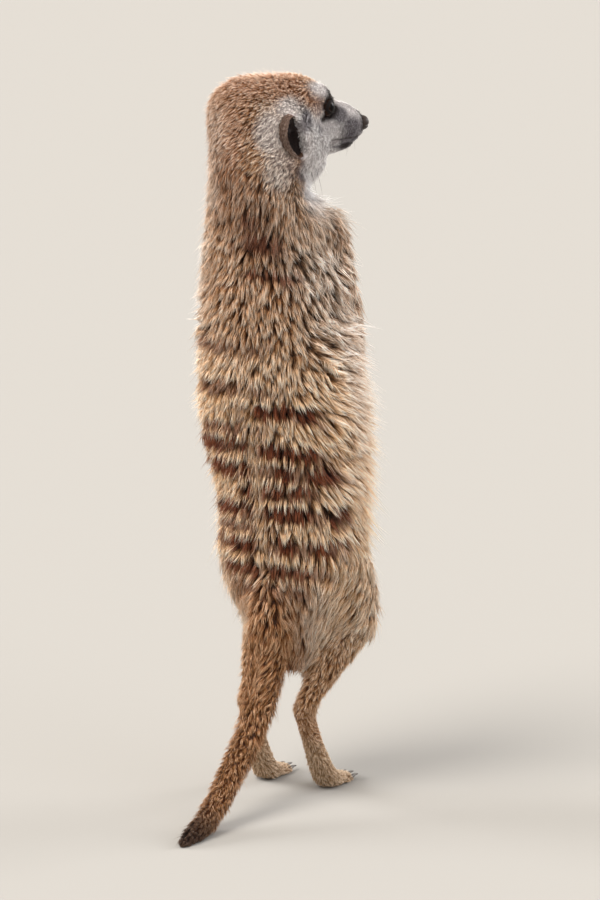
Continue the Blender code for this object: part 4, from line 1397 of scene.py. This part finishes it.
class MEERKAT_OT_nose(bpy.types.Operator):
    """Make the nose pad with its nostrils and the groove down to the lip"""

    bl_idname = "meerkat.nose"
    bl_label = "Nose"

    def execute(self, context):
        centre = middle("nose")
        pad = bmesh.new()
        bmesh.ops.create_icosphere(pad, subdivisions=5, radius=1.0)
        for vert in pad.verts:
            f, l, u = vert.co
            # Broad above, narrower to the lip, flattened in front.
            width = NOSE_WIDE * (1 + 0.16 * u) * (1 - 0.10 * max(-u, 0))
            ahead = f if f < 0.6 else 0.6 + (f - 0.6) * 0.6
            place = np.array((NOSE_DEEP * ahead, width * l, NOSE_TALL * u))
            groove = math.exp(-(l / 0.11) ** 2) * max(0.0, min(1.0, (0.35 - u) / 0.4)) * (f > 0)
            place[0] -= GROOVE * groove
            for lean in (-1, 1):
                if l * lean <= 0:
                    continue
                away = math.hypot((l - lean * 0.5) / 0.26, (u + 0.12 + 0.35 * (abs(l) - 0.5)) / 0.2)
                hole = math.exp(-away**2)
                slit = math.exp(-((abs(l) - 0.86) / 0.24) ** 2 - ((u + 0.26) / 0.1) ** 2)
                rim = math.exp(-((away - 1.35) / 0.35) ** 2)
                place[0] -= (1.7 * hole - 0.16 * rim) * (f > 0) + 0.3 * slit
                place[1] -= lean * (0.45 * hole + 0.7 * slit)
            vert.co = Vector((centre + HEAD.turned(place)) * MM)
        nose = mesh_object("nose_pad", as_mesh("nose_pad", pad), nose_material())
        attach(nose, "root")
        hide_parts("nose")
        return {"FINISHED"}


def whisker_material():
    """Whiskers: stiff dark keratin with a satin shine, browner towards the root."""
    material, tree = new_material("whisker keratin")
    along = add(tree, "ShaderNodeAttribute", attribute_name="along").outputs["Fac"]
    colour = add(tree, "ShaderNodeValToRGB", {"Fac": along}, [(0.0, "#3a2c26"), (0.5, "#1b1412")])
    shader = add(tree, "ShaderNodeBsdfPrincipled", {"Base Color": colour.outputs["Color"], "Roughness": 0.4})
    add(tree, "ShaderNodeOutputMaterial", {"Surface": shader.outputs["BSDF"]})
    return material


# Where whiskers grow on each side, in the head's axes, in mm: (forwards, up, length, lean back, lean down).
WHISKERS = (
    (42.5, -3.4, 13.0, 0.35, 0.10), (42.0, -5.6, 15.0, 0.40, 0.35), (40.2, -3.0, 16.0, 0.55, 0.05),
    (39.8, -5.2, 17.5, 0.60, 0.30), (39.4, -7.2, 14.0, 0.60, 0.60), (37.6, -4.0, 17.0, 0.75, 0.15),
    (37.2, -6.4, 15.5, 0.80, 0.45), (17.5, -16.0, 14.5, -0.1, 1.6), (15.0, -16.5, 12.5, -0.2, 1.5),
    (27.5, 13.2, 9.0, 0.4, -0.9),
)
# How many sides a whisker has, how many lengths it bends in, and how far it sags as a share of its length.
HAIR_SIDES, HAIR_STEPS, SAG = 5, 8, 0.16


class MEERKAT_OT_whiskers(bpy.types.Operator):
    """Grow the whiskers of the muzzle, the cheeks and the brows as thin tapered hairs"""

    bl_idname = "meerkat.whiskers"
    bl_label = "Whiskers"

    def execute(self, context):
        sizes = context.scene.meerkat_face
        skin = bpy.data.objects["skin"].data
        tree = BVHTree.FromPolygons([vert.co / MM for vert in skin.vertices],
                                    [face.vertices[:] for face in skin.polygons])
        hairs, along = bmesh.new(), []
        for sign in (1, -1):
            for f, u, long, lean_back, lean_down in WHISKERS:
                root, normal = tree.find_nearest(Vector(HEAD.outward((f, sign * 14.0, u))))[:2]
                run = Vector(HEAD.turned((-lean_back, sign * 1.0, -lean_down))).normalized()
                run = (run + normal * 0.4).normalized()
                rings = []
                for t in np.linspace(0, 1, HAIR_STEPS + 1):
                    at = root - normal * 0.5 + run * long * t + Vector((0, 0, -SAG * long * t * t))
                    at += Vector(HEAD.turned((-0.12, 0, 0))) * long * t * t
                    radius = sizes.whisker / MM / 2 * (1 - 0.85 * t)
                    level = run.cross(Vector((0, 0, 1))).normalized()
                    tall = level.cross(run)
                    turns = [2 * math.pi * k / HAIR_SIDES for k in range(HAIR_SIDES)]
                    out = [(level * math.cos(turn) + tall * math.sin(turn)) * radius for turn in turns]
                    rings.append([hairs.verts.new((at + off) * MM) for off in out])
                    along += [t] * HAIR_SIDES
                for low, high in zip(rings, rings[1:]):
                    for k in range(HAIR_SIDES):
                        after = (k + 1) % HAIR_SIDES
                        hairs.faces.new((low[k], low[after], high[after], high[k]))
                hairs.faces.new(rings[0])
                hairs.faces.new(rings[-1])
        bmesh.ops.recalc_face_normals(hairs, faces=hairs.faces)
        mesh = as_mesh("whiskers", hairs)
        store(mesh, "along", along)
        whiskers = mesh_object("whiskers", mesh, whisker_material())
        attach(whiskers, "root")
        return {"FINISHED"}


def claw_material():
    """Digging claws of dark horn: satin, with fine lengthwise grain."""
    material, tree = new_material("dark horn claw")
    place = add(tree, "ShaderNodeTexCoord").outputs["Object"]
    stretched = add(tree, "ShaderNodeMapping", {"Vector": place, "Scale": (5, 5, 1)}).outputs["Vector"]
    grain = add(tree, "ShaderNodeTexNoise", {
        "Vector": stretched, "Scale": 1 / (1.2 * MM), "Detail": 3.0}).outputs["Fac"]
    colour = add(tree, "ShaderNodeValToRGB", {"Fac": grain}, [(0.25, "#2b221c"), (0.8, "#5d4f43")])
    bump = add(tree, "ShaderNodeBump", {"Height": grain, "Strength": 0.35, "Distance": 0.1 * MM})
    shader = add(tree, "ShaderNodeBsdfPrincipled", {
        "Base Color": colour.outputs["Color"], "Roughness": 0.4, "Normal": bump.outputs["Normal"]})
    add(tree, "ShaderNodeOutputMaterial", {"Surface": shader.outputs["BSDF"]})
    return material


# How slim a claw is drawn at its root and tip, as shares of the solid, and how far its tip bends in mm.
SLIMMING = {"hand": (0.62, 0.5, 1.6), "foot": (0.86, 0.7, 0.0)}
# How near the floor any part of a claw may come, in mm.
CLAW_LOWEST = 0.05


def slim(claw, part, side):
    """Draws a claw in round its own length, most at its tip, and bends its tip to the palm's side."""
    at_root, at_tip, droop = SLIMMING[part]
    places = np.array([v.co for v in claw.verts]) / MM
    centre = places.mean(axis=0)
    _, turns = np.linalg.eigh(np.cov((places - centre).T))
    own = turns[:, 2] * (1 if turns[:, 2] @ (centre - middle(f"{part}_{side}")) > 0 else -1)
    along = (places - centre) @ own
    t = (along - along.min()) / np.ptp(along)
    core = centre + along[:, None] * own
    palm = unit(np.array((0.0, 1.0, 0.0)) - own * own[1])
    bent = core + (places - core) * (at_root + (at_tip - at_root) * t)[:, None]
    bent += palm * (droop * (t**2 - 0.25))[:, None]
    bent[:, 2] = bent[:, 2].clip(CLAW_LOWEST)
    for vert, place in zip(claw.verts, bent):
        vert.co = place * MM


class MEERKAT_OT_claws(bpy.types.Operator):
    """Smooth and slim the claws of each hand and foot"""

    bl_idname = "meerkat.claws"
    bl_label = "Claws"

    def execute(self, context):
        material = claw_material()
        for part in ("hand", "foot"):
            for side in SIDES:
                nodes = [f"claw_{part}_{side}_{n}" for n in (1, 2, 3, 4)]
                copies = [merged_copy(node) for node in nodes]
                for copy in copies:
                    bmesh.ops.subdivide_edges(copy, edges=copy.edges, cuts=2, use_grid_fill=True, smooth=0.6)
                    for _ in range(3):
                        bmesh.ops.smooth_vert(copy, verts=copy.verts, factor=0.4, use_axis_x=True,
                                              use_axis_y=True, use_axis_z=True)
                    slim(copy, part, side)
                title = f"claws_{part}_{side}"
                claws = mesh_object(title, as_mesh(title, joined(copies)), material)
                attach(claws, "root")
                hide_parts(*nodes)
        return {"FINISHED"}


# ---------------------------------------------------------------- stage


# How far the floor runs from the animal, in metres: past the edge of a low view.
FLOOR_REACH = 160.0


def paper_material():
    """Backdrop paper: uncoated, with no shine at all, so that it looks as bright from every side."""
    material, tree = new_material("matt pale backdrop paper")
    shader = add(tree, "ShaderNodeBsdfPrincipled", {
        "Base Color": linear("#a8a5a1"), "Roughness": 1.0, "Specular IOR Level": 0.0})
    add(tree, "ShaderNodeOutputMaterial", {"Surface": shader.outputs["BSDF"]})
    return material


def aimed(obj, place, target):
    obj.location = place
    obj.rotation_euler = (Vector(target) - Vector(place)).to_track_quat("-Z", "Y").to_euler()


def add_light(name, place, target, softness, strength, colour):
    """A far, broad softbox: even light over the floor, with shadow edges as soft as its angle is wide."""
    lamp = bpy.data.lights.new(name, "SUN")
    lamp.angle = math.radians(softness)
    lamp.energy = strength
    lamp.color = linear(colour)[:3]
    made = bpy.data.objects.new(name, lamp)
    bpy.context.scene.collection.objects.link(made)
    aimed(made, place, target)


class MEERKAT_OT_stage(bpy.types.Operator):
    """Lay the pale floor, hang the soft studio lights and set the camera"""

    bl_idname = "meerkat.stage"
    bl_label = "Stage"

    def execute(self, context):
        sizes = context.scene.meerkat_stage
        floor = bmesh.new()
        bmesh.ops.create_grid(floor, x_segments=1, y_segments=1, size=FLOOR_REACH)
        ground = mesh_object("floor", as_mesh("floor", floor), paper_material())

        world = bpy.data.worlds.new("soft room")
        context.scene.world = world
        world.use_nodes = True
        background = world.node_tree.nodes["Background"]
        background.inputs["Color"].default_value = linear("#fbf6ef")
        background.inputs["Strength"].default_value = sizes.room

        low, high = (Vector(corner) for corner in CAD_BOX)
        heart = (low + high) / 2
        azimuth, elevation = sizes.azimuth, sizes.elevation
        flat = math.cos(elevation)
        back = Vector((math.sin(azimuth) * flat, -math.cos(azimuth) * flat, math.sin(elevation)))
        right = Vector((math.cos(azimuth), math.sin(azimuth), 0.0))
        up = back.cross(right)
        for name, towards, aside, above, softness, strength, colour in (
                ("key", 1.1, -1.0, 1.6, 30, sizes.key, "#fffaf2"),
                ("fill", 1.2, 1.6, 0.7, 50, sizes.fill, "#eef3ff"),
                ("rim_right", -0.7, 1.5, 0.8, 30, sizes.rim, "#ffffff"),
                ("rim_left", -0.4, -1.5, 0.7, 30, sizes.rim * 1.7, "#ffffff")):
            place = heart + back * towards + right * aside + up * above
            add_light(name, place, heart, softness, strength, colour)

        # The camera looks at a point up the view from where the animal stands.
        stands = Vector((TAIL_X * MM, sizes.stand_y, 0.0))
        target = stands + right * sizes.look_right + up * sizes.look_up + back * sizes.look_back
        camera = bpy.data.objects.new("camera", bpy.data.cameras.new("camera"))
        context.scene.collection.objects.link(camera)
        aimed(camera, target + back * sizes.distance, target)
        camera.data.sensor_width = 36
        camera.data.lens = sizes.lens
        camera.data.clip_start, camera.data.clip_end = 0.1, 3 * FLOOR_REACH
        context.scene.camera = camera
        context.scene.view_settings.view_transform = "Standard"
        return {"FINISHED"}


# ---------------------------------------------------------------- settings, panel, register


def number(name, description, default, **kind_of):
    return FloatProperty(name=name, description=description, default=default, **kind_of)


def length(name, description, default):
    return number(name, description, default, unit="LENGTH", subtype="DISTANCE")


def angle(name, description, degrees):
    return number(name, description, math.radians(degrees), subtype="ANGLE")


class MEERKAT_PG_skin(bpy.types.PropertyGroup):
    voxel: length("Voxel", "Size of the cells in which the flesh is fused", 1.28 * MM)
    swell: length("Swell", "How far each solid swells before they are fused, to close the gaps", 0.35 * MM)


class MEERKAT_PG_coat(bpy.types.PropertyGroup):
    length: number("Length", "Share of each part's own tuft length", 1.0)
    width: number("Width", "Share of each part's own tuft width", 1.0)
    density: number("Density", "Share of each part's own count of tufts", 1.0)
    stray: number("Stray", "How far locks turn off the lie of the coat", 0.55, subtype="ANGLE")
    guard: number("Guard hairs", "Share of tufts that are finer and stand out", 0.1, subtype="FACTOR")
    eye_clearing: angle("Eye clearing", "No tuft roots nearer than this to the way an eye looks", 38)


class MEERKAT_PG_face(bpy.types.PropertyGroup):
    opening_width: number("Opening width", "Half the lids' opening across, in degrees", 42.0)
    opening_height: number("Opening height", "Half the lids' opening up and down, in degrees", 27.0)
    whisker: length("Whisker", "Thickness of a whisker at its root", 0.2 * MM)


class MEERKAT_PG_stage(bpy.types.PropertyGroup):
    azimuth: angle("Azimuth", "Where the camera stands round the animal", 206)
    elevation: angle("Elevation", "How far the camera looks down", 15)
    distance: length("Distance", "From the camera to the point that it looks at", 8.0)
    lens: number("Lens", "Focal length in mm on a sensor 36 mm long", 724.8)
    stand_y: length("Middle of the stand", "Front to back place under the animal's middle", -38.58 * MM)
    look_right: length("Look right", "How far right of the stand the view is centred", 0.44 * MM)
    look_up: length("Look up", "How far above the stand the view is centred", 147.0 * MM)
    look_back: length("Look back", "How far towards the camera its target is", 41.0 * MM)
    key: number("Key", "Strength of the main light", 2.5)
    fill: number("Fill", "Strength of the fill light", 0.5)
    rim: number("Rim", "Strength of the light behind on the right; the one on the left is stronger", 1.8)
    room: number("Room", "Strength of the light from all round", 0.8)


STEPS = ("skin", "coat", "eyes", "nose", "whiskers", "claws", "stage")


class MEERKAT_PT_panel(bpy.types.Panel):
    """The meerkat's pieces, in the order that they are made"""

    bl_idname = "MEERKAT_PT_panel"
    bl_label = "Meerkat"
    bl_space_type = "VIEW_3D"
    bl_region_type = "UI"
    bl_category = "Meerkat"

    def draw(self, context):
        for step in STEPS:
            self.layout.operator(f"meerkat.{step}")
        for title, group in GROUPS.items():
            box = self.layout.box()
            for name in group.__annotations__:
                box.prop(getattr(context.scene, title), name)


GROUPS = {"meerkat_skin": MEERKAT_PG_skin, "meerkat_coat": MEERKAT_PG_coat, "meerkat_face": MEERKAT_PG_face,
          "meerkat_stage": MEERKAT_PG_stage}
CLASSES = (*GROUPS.values(), MEERKAT_OT_skin, MEERKAT_OT_coat, MEERKAT_OT_eyes, MEERKAT_OT_nose,
           MEERKAT_OT_whiskers, MEERKAT_OT_claws, MEERKAT_OT_stage, MEERKAT_PT_panel)


def register():
    for each in CLASSES:
        bpy.utils.register_class(each)
    for name, group in GROUPS.items():
        setattr(bpy.types.Scene, name, PointerProperty(type=group))


def unregister():
    for name in GROUPS:
        delattr(bpy.types.Scene, name)
    for each in reversed(CLASSES):
        bpy.utils.unregister_class(each)


def main():
    register()
    for step in STEPS:
        getattr(bpy.ops.meerkat, step)()


if __name__ == "__main__":
    main()
